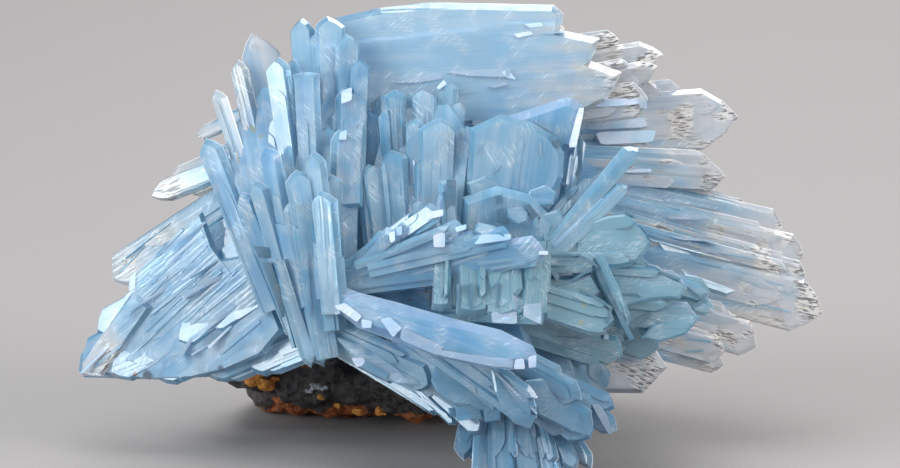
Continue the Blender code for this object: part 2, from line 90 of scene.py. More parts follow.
# Painted shade for dark edges and gaps.
SLATE_PAINTED_SHADE = (0.07, 0.16, 0.22)
FLECK_DARK = (0.11, 0.11, 0.13)
STAIN = (0.50, 0.56, 0.38)
RUST = (0.45, 0.14, 0.03)
BROWN = (0.02, 0.015, 0.01)
BODY_SIGHT = 0.56
TIP_SIGHT = 0.56
ABSORB_COLOUR = (0.55, 0.80, 0.93)
ABSORB_DENSITY = 35.0
SCATTER = 0.35
FLOOR_COLOUR = (0.285, 0.265, 0.257)
ROOM_LIGHT = 0.54
# Each studio light: where it stands in metres, its size, its power in watts and its colour.
SOFTBOXES = [
    ("top", (-0.05, -0.05, 0.75), (0.8, 0.6), 4.0, (0.97, 0.97, 1.0)),
    ("left", (-0.70, -0.45, 0.35), (0.5, 0.7), 8.5, (0.86, 0.95, 1.0)),
    ("right", (0.65, -0.35, 0.40), (0.4, 0.6), 4.9, (1.0, 0.98, 0.96)),
    ("behind", (0.15, 0.70, 0.50), (0.6, 0.4), 3.6, (1.0, 1.0, 1.0)),
]

# Each crystal: its tip, its root, width, thickness, turn of its broad face from the front in
# degrees, the side that its apex leans to (1 is counter-clockwise) and the length of its tip
# in widths. Tips and roots are millimetres across, up as seen from the front, and deep.
RIGHT_FAN = [
    ((18.6, 65.1, 11), (-22, 60, 9), 8.0, 3.2, 8, 0.8, 0.20),
    ((27.2, 64.2, 10), (-22, 58, 8), 7.0, 3.0, 12, 0.6, 0.25),
    ((34.1, 63.5, 9), (-22, 55, 7), 5.2, 3.0, 10, 0.0, 0.70),
    ((33.3, 60.8, 7), (-22, 52, 6), 4.2, 2.6, 16, 0.5, 0.60),
    ((31.7, 56.4, 3), (-20, 50, 4), 6.0, 2.6, 8, 0.0, 0.35),
    ((46.2, 53.4, 10), (-14, 50, 6), 10.0, 3.4, 6, 0.0, 0.60),
    ((38.4, 47.2, 8), (3, 46.5, 3), 3.2, 2.4, 10, 0.4, 0.60),
    ((44.0, 43.7, 6), (1.6, 46.5, 2), 5.0, 3.0, 12, 0.1, 0.50),
    ((53.9, 35.2, 8), (4.8, 46.5, 2), 6.2, 3.2, 14, -0.5, 0.50),
    ((56.8, 31.5, 6), (6.4, 43.4, 1), 5.6, 3.0, 10, -0.2, 0.50),
    ((57.1, 27.2, 4), (4.8, 40.0, 0), 6.0, 3.0, 14, 0.0, 0.35),
    ((59.7, 22.4, 3), (4.8, 35.4, -2), 9.0, 3.4, 8, -0.1, 0.50),
    ((49.3, 17.4, 0), (8.0, 29.0, -4), 6.0, 3.0, 12, -0.3, 0.40),
    ((44.0, 15.8, -2), (11.2, 24.2, -6), 5.0, 3.0, 10, 0.0, 0.40),
    ((43.8, 13.6, -1), (20.0, 19.4, -4), 3.4, 2.4, 16, 0.2, 0.50),
]
LEFT_UPRIGHT_FAN = [
    ((-38.9, 50.1, -6), (-28.0, 22.6, -12), 4.4, 3.0, -30, 0.1, 0.50),
    ((-37.3, 57.9, -3), (-26.4, 24.2, -11), 2.8, 2.4, -25, 0.2, 0.60),
    ((-34.1, 62.6, 0), (-25.3, 24.2, -10), 3.2, 2.6, -20, -0.2, 0.60),
    ((-31.0, 67.0, 4), (-22.4, 22.6, -8), 6.2, 3.0, 10, 0.3, 0.60),
    ((-27.7, 63.0, -3), (-22.0, 22.6, -12), 4.2, 3.0, -25, -0.2, 0.45),
    ((-23.8, 69.3, 2), (-20.5, 24.2, -9), 4.2, 3.0, -12, -0.1, 0.50),
    ((-19.3, 69.6, -0.5), (-18.4, 25.8, -8), 4.8, 3.0, 8, 0.2, 0.35),
    ((-16.6, 66.8, -1.5), (-16.8, 27.4, -7), 4.4, 3.0, 14, 0.0, 0.40),
    ((-17.1, 63.7, -1), (-17.6, 24.2, -10), 3.8, 2.8, -15, 0.0, 0.35),
    ((-14.5, 62.7, -2.5), (-15.2, 25.8, -10), 3.4, 2.8, 12, 0.0, 0.40),
    ((-23.0, 60.6, -5), (-21.1, 21.0, -14), 4.4, 3.0, -15, 0.0, 0.08),
    ((-15.8, 58.1, -4), (-16.8, 22.6, -12), 5.2, 3.0, 18, 0.6, 0.35),
    ((-16.6, 51.4, -9), (-17.6, 21.0, -15), 5.2, 3.0, 20, 0.6, 0.35),
    ((-21.8, 48.0, -14), (-17.9, 19.4, -18), 3.6, 2.8, -20, 0.0, 0.50),
    ((-33.1, 41.6, -10), (-24.0, 19.4, -15), 3.4, 2.8, -30, 0.2, 0.50),
    ((-30.9, 43.4, -12), (-23.2, 17.0, -16), 3.4, 2.8, -24, 0.2, 0.50),
    ((-28.9, 48.8, -11), (-22.7, 16.2, -16), 3.6, 2.8, -28, 0.5, 0.40),
    ((-24.6, 45.0, -15), (-19.5, 15.0, -18), 4.2, 3.0, 15, 0.0, 0.40),
    ((-20.2, 41.8, -17), (-18.4, 22.0, -20), 4.4, 3.0, -18, 0.4, 0.40),
    ((-20.8, 13.2, -16), (-26.0, 31.0, -14), 4.6, 3.2, -12, 0.4, 0.80),
]
LEFT_SPIKES = [
    ((-47.7, 40.8, 10), (-24.0, 50.0, -2), 4.2, 2.4, 14, 0.2, 0.90),
    ((-44.6, 43.6, 11), (-24.0, 53.0, -1), 2.8, 2.2, -10, 0.0, 0.80),
    ((-40.5, 50.2, 8), (-25.0, 58.0, -1), 2.6, 2.2, 10, 0.0, 0.80),
]
LOWER_LEFT_FAN = [
    ((-54.2, 27.8, 4), (-24.0, 48.0, 0), 6.2, 3.0, 10, 0.3, 0.35),
    ((-51.5, 25.0, 1), (-22.4, 43.4, -3), 5.2, 3.0, 16, 0.2, 0.40),
    ((-47.4, 23.0, -3), (-21.0, 40.2, -7), 4.6, 2.8, 20, 0.3, 0.50),
    ((-56.4, 19.0, 0), (-24.0, 37.8, -5), 6.0, 3.0, 14, 0.0, 0.45),
    ((-59.1, 14.0, 0), (-24.0, 33.8, -5), 6.2, 3.0, 8, 0.2, 0.50),
    ((-43.5, 17.6, -6), (-20.0, 31.8, -10), 5.0, 2.8, 18, 0.2, 0.50),
    ((-54.4, 12.7, -2), (-22.0, 28.0, -8), 6.0, 3.0, 12, 0.2, 0.50),
    ((-46.7, 11.9, -4), (-19.0, 24.0, -9), 5.0, 2.8, 16, 0.3, 0.50),
    ((-38.7, 12.4, -6), (-17.0, 21.0, -10), 5.0, 2.8, 10, 0.3, 0.50),
    ((-31.8, 13.2, -8), (-15.0, 20.0, -12), 4.4, 2.8, 16, 0.2, 0.50),
]
CENTRE_UPRIGHTS = [
    ((-10.9, 57.1, -1), (-8.0, 29.0, -8), 2.8, 2.4, -20, 0.0, 0.40),
    ((-8.9, 57.8, -4), (-7.2, 29.0, -9), 3.4, 2.6, 10, 0.0, 0.30),
    ((-6.4, 57.4, -1), (-5.6, 30.0, -7), 2.6, 2.4, -15, 0.0, 0.50),
    ((-4.0, 57.7, -3), (-4.6, 30.6, -9), 3.9, 2.6, 8, 0.3, 0.30),
    ((-0.4, 59.3, -1), (-1.6, 32.0, -8), 3.6, 2.6, -12, 0.4, 0.35),
    ((1.2, 55.8, -3), (-0.6, 31.0, -9), 3.0, 2.4, 16, -0.3, 0.40),
    ((-5.6, 53.2, -7), (-5.8, 29.0, -12), 3.2, 2.6, -14, 0.0, 0.30),
    ((-2.0, 53.3, -8), (-2.4, 27.4, -13), 6.2, 2.8, 12, -0.2, 0.30),
    ((-9.0, 48.2, -9), (-7.2, 25.8, -14), 4.2, 2.8, -10, 0.2, 0.35),
    ((-12.6, 46.0, -9), (-10.4, 25.8, -14), 4.0, 2.8, 14, 0.3, 0.40),
    ((-0.4, 43.4, -13), (0.2, 25.8, -18), 3.0, 2.6, 6, 0.0, 0.10),
    ((3.0, 52.0, -6), (2.4, 29.0, -12), 3.6, 2.6, -16, 0.3, 0.30),
]
DIAGONALS = [
    ((29.8, 48.8, -9), (14.0, 30.5, -16), 3.2, 2.6, 20, -0.4, 0.50),
    ((28.2, 42.8, -11), (15.5, 30.5, -17), 2.8, 2.4, 16, -0.4, 0.50),
    ((23.4, 43.6, -8), (13.0, 32.5, -14), 3.4, 2.4, -10, 0.0, 0.50),
    ((20.6, 50.6, -5), (18.0, 33.0, -10), 3.0, 2.6, 24, 0.2, 0.40),
]
MIDDLE_CLUSTER = [
    ((15.2, 32.2, -21), (-16.8, 27.5, -16), 5.2, 3.2, 14, -0.2, 0.30),
    ((-8.6, 35.3, -19), (-15.7, 28.2, -16), 3.0, 2.4, 10, 0.0, 0.25),
    ((-1.9, 38.7, -18), (-15.7, 29.0, -15), 3.4, 2.6, -14, 0.0, 0.20),
    ((2.1, 36.0, -20), (-14.4, 29.0, -17), 3.0, 2.4, 18, 0.0, 0.20),
    ((9.8, 34.3, -21), (-12.8, 29.0, -18), 3.8, 2.6, 8, 0.0, 0.20),
    ((-1.3, 22.4, -22), (-1.1, 31.4, -18), 3.4, 2.8, 8, 0.0, 0.10),
    ((3.5, 21.4, -23), (3.2, 31.4, -18), 5.0, 3.0, -8, 0.0, 0.10),
    ((8.5, 21.0, -23), (8.0, 32.2, -18), 5.4, 3.0, 10, 0.0, 0.12),
    ((13.3, 21.0, -22), (13.6, 33.4, -18), 4.8, 3.0, -14, 0.0, 0.12),
    ((15.0, 21.4, -23), (-1.5, 21.8, -20), 2.6, 2.6, 20, 0.0, 0.10),
]
RIGHT_CENTRE = [
    ((29.8, 36.8, -11), (14.0, 34.6, -14), 3.2, 2.4, 10, 0.0, 0.45),
    ((32.1, 33.2, -13), (15.0, 32.5, -15), 5.4, 2.8, -8, 0.0, 0.45),
    ((37.9, 25.8, -13), (17.0, 27.6, -14), 5.8, 3.0, 10, 0.1, 0.45),
    ((41.7, 25.3, -9), (14.0, 31.0, -13), 4.0, 2.8, -6, -0.1, 0.45),
    ((42.4, 22.8, -8), (16.0, 27.0, -11), 3.0, 2.6, 14, 0.0, 0.50),
    ((39.8, 20.8, -13), (18.0, 22.6, -14), 4.4, 2.8, 12, 0.2, 0.45),
    ((28.3, 19.2, -17), (22.8, 31.0, -15), 5.6, 1.8, 74, 0.0, 0.40),
    ((23.9, 30.2, -17), (10.0, 30.0, -15), 3.4, 2.6, 10, 0.0, 0.45),
    ((26.6, 20.4, -18), (12.0, 25.0, -18), 5.0, 2.8, -10, 0.2, 0.40),
    ((33.6, 16.4, -11), (14.0, 23.0, -12), 5.6, 3.0, 10, 0.0, 0.40),
    ((27.8, 15.6, -14), (10.0, 20.8, -16), 5.0, 2.8, 16, -0.2, 0.40),
]
FRONT_BLADES = [
    ((-2.2, 11.0, -23), (-21.6, 19.9, -14), 5.2, 3.0, 24, -0.2, 0.40),
    ((-0.2, 7.2, -20), (-17.5, 17.8, -10), 5.2, 3.0, 14, -0.2, 0.30),
    ((8.3, 6.0, -26), (-8.0, 17.0, -19), 6.4, 3.2, 22, -0.1, 0.35),
    ((5.9, 3.2, -24), (-6.0, 13.5, -16), 4.4, 3.0, 10, -0.4, 0.40),
    ((14.1, 5.6, -29), (-1.6, 17.0, -23), 5.0, 3.0, 26, -0.2, 0.50),
    ((21.1, 8.2, -26), (4.8, 17.0, -21), 4.6, 3.0, 16, 0.0, 0.45),
    ((22.9, 2.4, -26), (6.4, 14.6, -21), 6.4, 3.0, 14, -0.2, 0.40),
    ((26.4, 6.8, -21), (9.0, 15.0, -18), 3.6, 2.6, -8, 0.0, 0.50),
    ((26.7, 3.2, -22), (11.0, 14.0, -18), 3.6, 2.6, 12, 0.0, 0.50),
]
FRONT_FEET = [
    ((2.0, -1.6, -23), (3.6, 9.5, -17), 3.4, 2.6, 10, 0.2, 0.60),
    ((5.2, -5.2, -26), (5.6, 9.5, -19), 3.8, 2.8, -14, 0.0, 0.50),
    ((8.7, -6.2, -27.5), (8.2, 10.0, -20), 4.2, 3.0, 12, 0.2, 0.45),
    ((12.7, -6.5, -27.5), (10.6, 10.0, -20), 4.2, 3.0, -8, -0.2, 0.45),
    ((16.6, -6.1, -27), (12.8, 10.0, -19), 3.8, 2.8, 14, 0.2, 0.50),
    ((19.8, -3.6, -26), (14.6, 9.5, -18), 3.2, 2.6, -10, 0.0, 0.60),
    ((22.7, -2.8, -24), (15.6, 8.5, -17), 2.8, 2.4, 16, 0.0, 0.70),
]
# The sides that do not show from the front: tip, width and thickness, from one root.
BACK_FAN = [
    ((-30, 57, 17), 7, 3.2), ((-18, 63, 22), 8, 3.4), ((-4, 66, 24), 9, 3.4),
    ((9, 66, 24), 9, 3.4), ((21, 62, 23), 9, 3.2), ((31, 55, 22), 8, 3.4),
    ((40, 47, 20), 8, 3.2), ((46, 39, 20), 8, 3.4), ((50, 31, 18), 8, 3.2),
    ((50, 24, 14), 8, 3.4), ((44, 18, 12), 7, 3.2), ((-20, 50, 30), 8, 3.4),
    ((-5, 55, 34), 9, 3.6), ((10, 53, 34), 9, 3.6), ((24, 46, 32), 8, 3.4),
    ((38, 28, 26), 8, 3.4), ((34, 19, 22), 7, 3.2),
    ((-40, 44, 14), 7, 3.0), ((-44, 35, 13), 7, 3.2), ((-47, 26, 10), 7, 3.0),
    ((-42, 18, 10), 7, 3.2), ((-34, 27, 24), 8, 3.2),
    ((-22, 36, 31), 8, 3.4), ((20, 30, 36), 8, 3.4), ((4, 38, 38), 8, 3.6),
    ((-12, 33, 34), 8, 3.4), ((30, 22, 31), 7, 3.4),
]
# Broad plates by their outlines, in millimetres across and up, then the depth of their middle,
# how far they go back per millimetre up and across, their thickness and their bevel.
TOP_PLATE = [(-17.6, 52.5), (17.0, 52.0), (25.0, 56.0), (27.5, 60.6), (22.5, 62.4), (24.0, 66.0),
             (17.6, 67.4), (18.2, 70.0), (16.5, 71.4), (-3.2, 71.8), (-11.2, 70.9), (-18.4, 69.3)]
LOWER_LEFT_PLATE = [(-58.6, 11.8), (-47.0, 11.4), (-33.0, 12.2), (-22.0, 20.0), (-24.0, 38.0),
                    (-39.7, 31.0), (-51.7, 25.1), (-59.1, 15.4), (-59.4, 12.9)]
SHOULDER_PLATE = [(8.0, 37.8), (16.3, 40.0), (18.4, 44.6), (18.6, 47.8), (20.6, 50.1),
                  (21.3, 55.2), (19.4, 56.6), (18.2, 56.5), (8.8, 53.4)]
CENTRE_PLATE = [(2.4, 39.0), (16.0, 39.6), (18.1, 43.8), (18.2, 47.8), (16.5, 50.4),
                (13.3, 52.5), (8.2, 53.9), (3.2, 51.7)]
HIP_PLATE = [(1.8, 29.5), (15.0, 29.5), (17.0, 36.6), (13.0, 41.0), (7.5, 42.4), (2.0, 40.6)]
GREY_PLATE = [(21.4, 11.9), (24.6, 9.3), (30.9, 9.2), (34.8, 13.4), (33.1, 16.0),
              (29.1, 17.6), (21.4, 17.8)]
LONG_BLADE = [(-20.4, 24.4), (-14.9, 19.8), (-8.1, 17.2), (-1.7, 15.0), (3.7, 13.7), (9.1, 13.0),
              (13.8, 13.4), (13.9, 15.4), (13.3, 16.8), (8.1, 19.4), (0.5, 21.2), (-8.5, 23.8),
              (-14.7, 25.4), (-20.0, 27.5)]
PLATES = [
    (TOP_PLATE, 2.6, 0.10, 0.0, 4.4, 0.9),
    (LOWER_LEFT_PLATE, 2.2, 0.06, 0.0, 4.0, 0.9),
    (SHOULDER_PLATE, -6.2, 0.12, 0.0, 4.0, 1.2),
    (CENTRE_PLATE, -10.4, 0.10, 0.0, 4.0, 0.9),
    (HIP_PLATE, -13.5, -0.05, 0.0, 4.0, 0.9),
    (GREY_PLATE, -8.6, 0.10, 0.0, 3.4, 0.9),
    (LONG_BLADE, -24.6, 0.30, -0.30, 4.4, 1.4),
]
# The heart of the spray, where the crystals of all the fans grow through one another.
HEART = [
    ((12, 60, 6), (-6, 22, 0), 20, 9, 4), ((-14, 56, 2), (-12, 20, -4), 14, 9, -8),
    ((26, 42, 6), (-6, 36, -2), 18, 8, 10), ((30, 26, 0), (-8, 28, -6), 13, 8, 12),
    ((-34, 24, -1), (2, 32, -3), 14, 7, 8), ((14, 14, -16), (-10, 26, -10), 14, 8, 14),
    ((18, 22, 8), (-12, 40, 14), 22, 12, 0), ((-16, 34, 16), (12, 44, 14), 18, 10, 6),
    ((21, 11, -13), (-8, 24, -8), 10, 6, 10), ((14, 8, -17), (-6, 20, -12), 9, 5, 8),
]
# Each lump of the matrix: its middle, its half sizes and its seed.
ROCK_LUMPS = [
    ((-14, 33, 1), (18, 11, 14), 1), ((4, 32, 1), (15, 11, 13), 2),
    ((-17, 21, 6.8), (13, 8, 6.6), 3), ((-26, 27, 5.5), (9, 8, 7.5), 4),
    ((-6, 17, 7.2), (10, 7, 6.4), 5), ((-31, 20, 9.6), (6.5, 5.5, 4.6), 6),
    ((-4, 25, 15), (12, 11, 13), 7), ((9, 23, 13), (11, 10, 12), 8),
]
# Small crystals in the gaps between the bigger ones: as the rows of a fan.
LATE_GROWTHS = [
    ((24.8, 9.0, -9.0), (18.0, 21.0, -10.0), 6.0, 3.0, 8, 0.2, 0.50),
    ((19.6, 8.6, -12.0), (13.0, 21.0, -12.0), 5.0, 3.0, -6, 0.0, 0.50),
]
# How clear each fan's tips are, how grey-green it is, and how many side blades, fillers in a gap
# and growth steps its crystals have.
FANS = [
    (RIGHT_FAN, 0.95, 0.0, 2, 2, 3), (LEFT_UPRIGHT_FAN[:1], 0.50, 0.0, 1, 0, 2),
    (LEFT_UPRIGHT_FAN[1:4], 0.86, 0.0, 1, 1, 3), (LEFT_UPRIGHT_FAN[4:], 0.45, 0.0, 1, 1, 2),
    (LEFT_SPIKES, 1.0, 0.0, 1, 0, 3), (LOWER_LEFT_FAN[:1], 0.95, 0.0, 1, 0, 3),
    (LOWER_LEFT_FAN[1:3], 0.4, 0.0, 1, 1, 3), (LOWER_LEFT_FAN[3:5], 0.60, 0.0, 1, 1, 3),
    (LOWER_LEFT_FAN[5:], 0.2, 0.0, 1, 1, 2), (CENTRE_UPRIGHTS, 0.35, 0.20, 1, 1, 2),
    (DIAGONALS, 0.3, 0.30, 1, 0, 2), (MIDDLE_CLUSTER[:5], 0.25, 0.15, 2, 1, 3),
    (MIDDLE_CLUSTER[5:], 0.1, 0.80, 1, 1, 2), (RIGHT_CENTRE, 0.5, 0.75, 2, 1, 3),
    (FRONT_BLADES, 0.4, 0.15, 2, 2, 3), (FRONT_FEET, 0.7, 0.15, 2, 1, 3),
    (LATE_GROWTHS, 0.3, 0.15, 1, 0, 2),
]
# Each broad plate's grain in degrees, how clear its end is, how grey-green it is, its ridges and
# its own tone, from pale through blue, which also colours its bevels as painted shade in darker
# blue or, near the top, as a painted lavender highlight.
PLATE_LOOKS = [
    (3.0, 0.88, 0.0, 1, 0.0), (26.0, 0.5, 0.0, 6, 0.4), (80.0, 0.2, 0.20, 1, 0.95),
    (82.0, 0.2, 0.25, 1, 0.5), (86.0, 0.1, 0.30, 1, 0.6), (-20.0, 3.5, 0.3, 3, 0.5),
    (-17.0, 0.1, 0.0, 0, 0.95),
]
# Small facets that stand out, by their corners across and up as seen from the front, with which
# way each one leans, to the right and up, and which facet it is.
# BRIGHT and PALE facets are coloured as painted highlights, DARK ones as painted shade.
FACETS = [
    ([(-9.8, 34.9), (-8.8, 35.2), (-8.8, 33.6), (-9.6, 33.3)], (-0.3, 0.5), BRIGHT),
    ([(-8.6, 35.8), (-7.7, 36.0), (-7.7, 34.6), (-8.6, 34.4)], (-0.2, 0.5), BRIGHT),
    ([(-4.0, 38.1), (-1.1, 38.7), (-1.1, 37.6), (-3.8, 37.0)], (-0.2, 0.6), BRIGHT),
    ([(0.8, 35.8), (2.6, 36.3), (2.6, 35.5), (1.0, 35.0)], (-0.1, 0.6), BRIGHT),
    ([(-2.7, 34.4), (-0.8, 35.2), (-0.8, 32.6), (-2.6, 32.6)], (0.2, 0.3), BRIGHT),
    ([(5.0, 34.6), (9.8, 34.7), (9.6, 33.8), (3.8, 33.0)], (0.1, 0.6), BRIGHT),
    ([(6.6, 22.2), (10.7, 22.4), (10.7, 20.3), (6.7, 20.5)], (0.0, 0.4), PALE),
    ([(11.8, 23.4), (14.6, 23.7), (14.6, 20.2), (11.7, 21.6)], (0.1, 0.5), PALE),
    ([(11.8, 68.3), (14.6, 68.6), (15.0, 68.0), (12.8, 67.7)], (0.0, 0.5), BRIGHT),
    ([(10.1, 66.7), (12.8, 67.2), (13.4, 66.7), (10.9, 66.1)], (0.0, 0.5), BRIGHT),
    ([(14.6, 67.0), (18.4, 67.2), (18.4, 66.9), (14.7, 66.7)], (0.0, 0.5), PALE),
    ([(-9.4, 58.9), (-5.6, 58.9), (-1.4, 59.5), (-1.6, 60.5), (-4.8, 59.8)], (0.0, 0.4), PALE),
    ([(-0.8, 60.6), (3.2, 60.0), (9.3, 59.8), (9.9, 61.0), (8.0, 61.3)], (0.0, 0.4), PALE),
    ([(8.3, 60.6), (9.1, 59.7), (10.6, 59.4), (9.9, 60.3), (9.3, 61.3)], (0.1, 0.4), BRIGHT),
    ([(5.9, 58.4), (7.2, 58.1), (9.3, 58.6), (8.8, 59.0)], (0.0, 0.5), PALE),
    ([(21.3, 56.3), (21.4, 55.5), (24.0, 55.0), (30.4, 55.5), (30.4, 56.5)], (0.0, 0.5), BRIGHT),
    ([(30.1, 56.6), (30.4, 54.9), (31.5, 54.7), (31.5, 56.2)], (0.2, 0.4), PALE),
    ([(21.8, 53.4), (31.0, 53.8), (31.6, 51.8), (22.2, 51.4)], (0.1, 0.6), BRIGHT),
    ([(23.2, 51.0), (33.0, 51.4), (32.4, 49.4), (24.2, 49.0)], (0.2, 0.5), BRIGHT),
    ([(28.0, 45.0), (28.2, 44.5), (32.2, 44.6), (32.2, 45.2)], (0.0, 0.5), BRIGHT),
    ([(34.7, 37.6), (35.2, 37.1), (40.5, 37.0), (41.6, 37.4)], (0.0, 0.5), PALE),
    ([(34.1, 34.6), (36.8, 33.8), (43.5, 33.4), (39.7, 34.1)], (0.0, 0.5), PALE),
    ([(38.6, 32.3), (39.7, 31.8), (43.8, 31.7), (43.8, 32.2)], (0.0, 0.5), PALE),
    ([(-17.4, 57.6), (-15.7, 58.2), (-15.7, 56.2), (-17.4, 55.5)], (-0.3, 0.4), BRIGHT),
    ([(-17.6, 51.0), (-16.5, 51.4), (-16.6, 49.8), (-17.8, 49.8)], (-0.3, 0.4), BRIGHT),
    ([(-2.1, 58.2), (-1.0, 59.4), (-0.5, 58.7), (-1.8, 57.8)], (0.2, 0.6), BRIGHT),
    ([(24.6, 18.7), (25.4, 18.7), (25.4, 17.9), (24.6, 17.9)], (0.2, 0.5), BRIGHT),
    ([(14.2, 32.0), (15.7, 32.0), (15.7, 31.4), (14.2, 31.4)], (0.2, 0.5), BRIGHT),
    ([(-1.4, 16.2), (4.0, 15.3), (10.2, 14.7), (10.1, 13.3), (6.9, 13.5), (-1.7, 15.3)],
     (0.0, 0.25), PALE),
    ([(12.5, 15.0), (13.8, 15.4), (13.8, 13.4), (12.6, 13.3)], (0.3, 0.3), BRIGHT),
    ([(10.4, 14.6), (11.8, 14.9), (12.0, 13.1), (10.2, 13.1)], (0.0, 0.2), BRIGHT),
    ([(-11.2, 21.1), (-9.6, 21.4), (-7.7, 19.7), (-9.1, 18.1)], (-0.2, 0.2), BRIGHT),
    ([(-14.2, 21.1), (-12.5, 20.8), (-12.6, 19.7), (-14.1, 19.7)], (-0.2, 0.4), BRIGHT),
    ([(-18.6, 23.2), (-16.8, 23.7), (-14.1, 21.6), (-14.9, 20.6)], (-0.2, 0.3), BRIGHT),
    ([(-7.7, 19.7), (-1.1, 16.8), (-1.8, 15.2), (-8.0, 17.8)], (0.0, 0.3), PALE),
    ([(-13.4, 14.6), (-9.6, 12.3), (-10.4, 11.5), (-14.1, 13.6)], (-0.1, 0.3), BEVEL),
    ([(-15.8, 14.9), (-13.8, 14.9), (-13.4, 13.8), (-15.0, 13.4)], (-0.2, 0.4), BRIGHT),
    ([(0.8, 6.9), (4.5, 7.5), (5.1, 5.3), (1.1, 4.8)], (0.1, 0.5), BEVEL),
    ([(5.3, 7.4), (8.0, 6.9), (8.0, 5.0), (5.6, 4.6)], (-0.1, 0.4), BEVEL),
    ([(22.6, 7.5), (24.0, 7.5), (26.6, 3.3), (25.4, 2.6)], (0.3, 0.3), PALE),
    ([(-0.3, 6.9), (3.5, 7.2), (3.2, 5.7), (0.0, 5.4)], (0.1, 0.0), BEVEL),
    ([(6.0, 6.3), (8.1, 6.6), (8.1, 5.0), (5.6, 5.0)], (0.2, 0.0), BEVEL),
    ([(8.6, 6.2), (13.6, 5.6), (12.8, 3.6), (10.3, 4.4)], (0.2, 0.0), BEVEL),
    ([(-31.4, 32.8), (-29.1, 32.6), (-28.6, 30.9), (-30.6, 31.0)], (0.0, 0.0), DARK),
    ([(-30.1, 30.2), (-28.8, 30.2), (-25.6, 22.2), (-26.9, 21.3)], (0.2, 0.0), DARK),
    ([(20.6, 54.9), (21.5, 54.9), (20.2, 48.6), (18.9, 48.6)], (0.5, 0.2), BRIGHT),
    ([(16.3, 49.6), (17.6, 49.9), (17.9, 49.3), (17.3, 48.5), (16.5, 48.8)], (0.3, 0.0), DARK),
    ([(-0.6, 43.4), (1.0, 43.4), (1.0, 38.1), (-0.5, 38.7)], (0.4, 0.0), DARK),
    ([(7.4, 38.6), (8.2, 38.9), (9.3, 36.8), (9.1, 36.3), (7.5, 36.8)], (0.2, -0.2), DARK),
    ([(7.2, 40.8), (8.3, 41.0), (8.5, 40.0), (7.4, 39.4)], (0.2, 0.0), DARK),
    ([(12.0, 39.4), (12.8, 39.5), (14.7, 37.1), (13.1, 37.0)], (0.2, -0.2), DARK),
    ([(18.4, 41.4), (19.4, 41.8), (19.5, 40.5), (18.7, 40.2)], (0.0, 0.0), DARK),
    ([(15.8, 29.3), (16.6, 29.4), (17.6, 27.8), (17.0, 27.2)], (0.2, 0.0), DARK),
    ([(28.5, 20.5), (32.2, 22.2), (31.7, 21.1), (29.3, 19.5)], (0.2, -0.2), DARK),
]
# Narrow edge faces, painted dark as shade or pale and bright as highlights: each one's line, its
# width and its facet.
RIBBONS = [
    ([(13.3, 52.5), (16.5, 50.7), (16.2, 49.4)], 0.48, DARK),
    ([(20.3, 50.4), (21.0, 49.6), (20.8, 45.0), (20.3, 44.2)], 0.64, DARK),
    ([(-1.0, 41.4), (-0.6, 38.7)], 0.48, DARK),
    ([(17.8, 42.9), (18.7, 42.4)], 0.48, DARK),
    ([(28.0, 38.1), (29.3, 37.6), (29.8, 36.6), (28.8, 35.8), (26.7, 35.5)], 0.26, DARK),
    ([(30.2, 36.0), (31.2, 34.9), (32.0, 33.3), (31.0, 31.8), (29.8, 30.4)], 0.35, DARK),
    ([(15.8, 31.2), (20.5, 31.4), (22.7, 30.2), (23.7, 29.4)], 0.42, DARK),
    ([(21.0, 25.8), (23.4, 24.5), (25.8, 22.9), (25.1, 20.5)], 0.42, DARK),
    ([(25.9, 25.0), (29.8, 25.1), (30.4, 24.6)], 0.35, DARK),
    ([(31.5, 29.6), (32.8, 29.3), (33.9, 28.5), (36.8, 27.5)], 0.48, DARK),
    ([(17.3, 26.4), (20.0, 27.5), (22.7, 29.3)], 0.42, DARK),
    ([(24.0, 28.2), (25.8, 24.5), (29.1, 17.9), (27.8, 17.1)], 0.8, DARK),
    ([(-59.0, 12.5), (-50.7, 20.5)], 0.35, BRIGHT),
    ([(-52.0, 22.1), (-45.1, 26.2)], 0.40, PALE),
    ([(-42.7, 24.8), (-30.9, 30.9)], 0.70, PALE),
    ([(-43.2, 15.0), (-41.4, 17.9), (-29.4, 26.6)], 0.60, PALE),
    ([(-38.6, 16.6), (-35.0, 20.0)], 0.40, BRIGHT),
    ([(-41.3, 15.4), (-38.6, 17.0)], 0.25, BRIGHT),
    ([(-42.7, 24.5), (-40.0, 25.6)], 0.50, BRIGHT),
    ([(-45.9, 31.7), (-39.2, 36.6)], 0.40, PALE),
    ([(-37.0, 30.4), (-41.4, 27.7)], 0.30, DARK),
    ([(7.4, 12.4), (13.9, 6.0)], 0.40, PALE),
    ([(1.3, 26.6), (1.5, 22.6)], 0.60, DARK),
    ([(3.4, 26.8), (3.5, 22.6)], 0.45, DARK),
    ([(7.4, 26.8), (7.6, 23.0)], 0.50, DARK),
    ([(-3.2, 25.6), (-3.4, 23.2)], 0.40, DARK),
]
# Stains and specks on the crystals: place across and up, radius and colour.
SPOTS = [
    ((22.7, 25.8), 0.8, BROWN), ((34.1, 26.2), 0.5, RUST), ((21.1, 20.6), 0.8, STAIN),
    ((21.4, 23.4), 0.6, STAIN), ((19.5, 27.2), 0.5, STAIN), ((-31.6, 51.6), 0.9, STAIN),
    ((-30.2, 50.4), 0.5, STAIN), ((14.1, 30.0), 0.5, STAIN), ((-6.4, 24.2), 0.35, RUST),
    ((-2.7, 24.0), 0.35, RUST), ((-3.8, 25.6), 0.3, RUST), ((-53.6, 12.0), 1.1, RUST),
    ((-48.6, 11.7), 1.4, BROWN), ((-50.4, 12.2), 0.7, RUST), ((-36.6, 13.0), 0.9, BROWN),
]
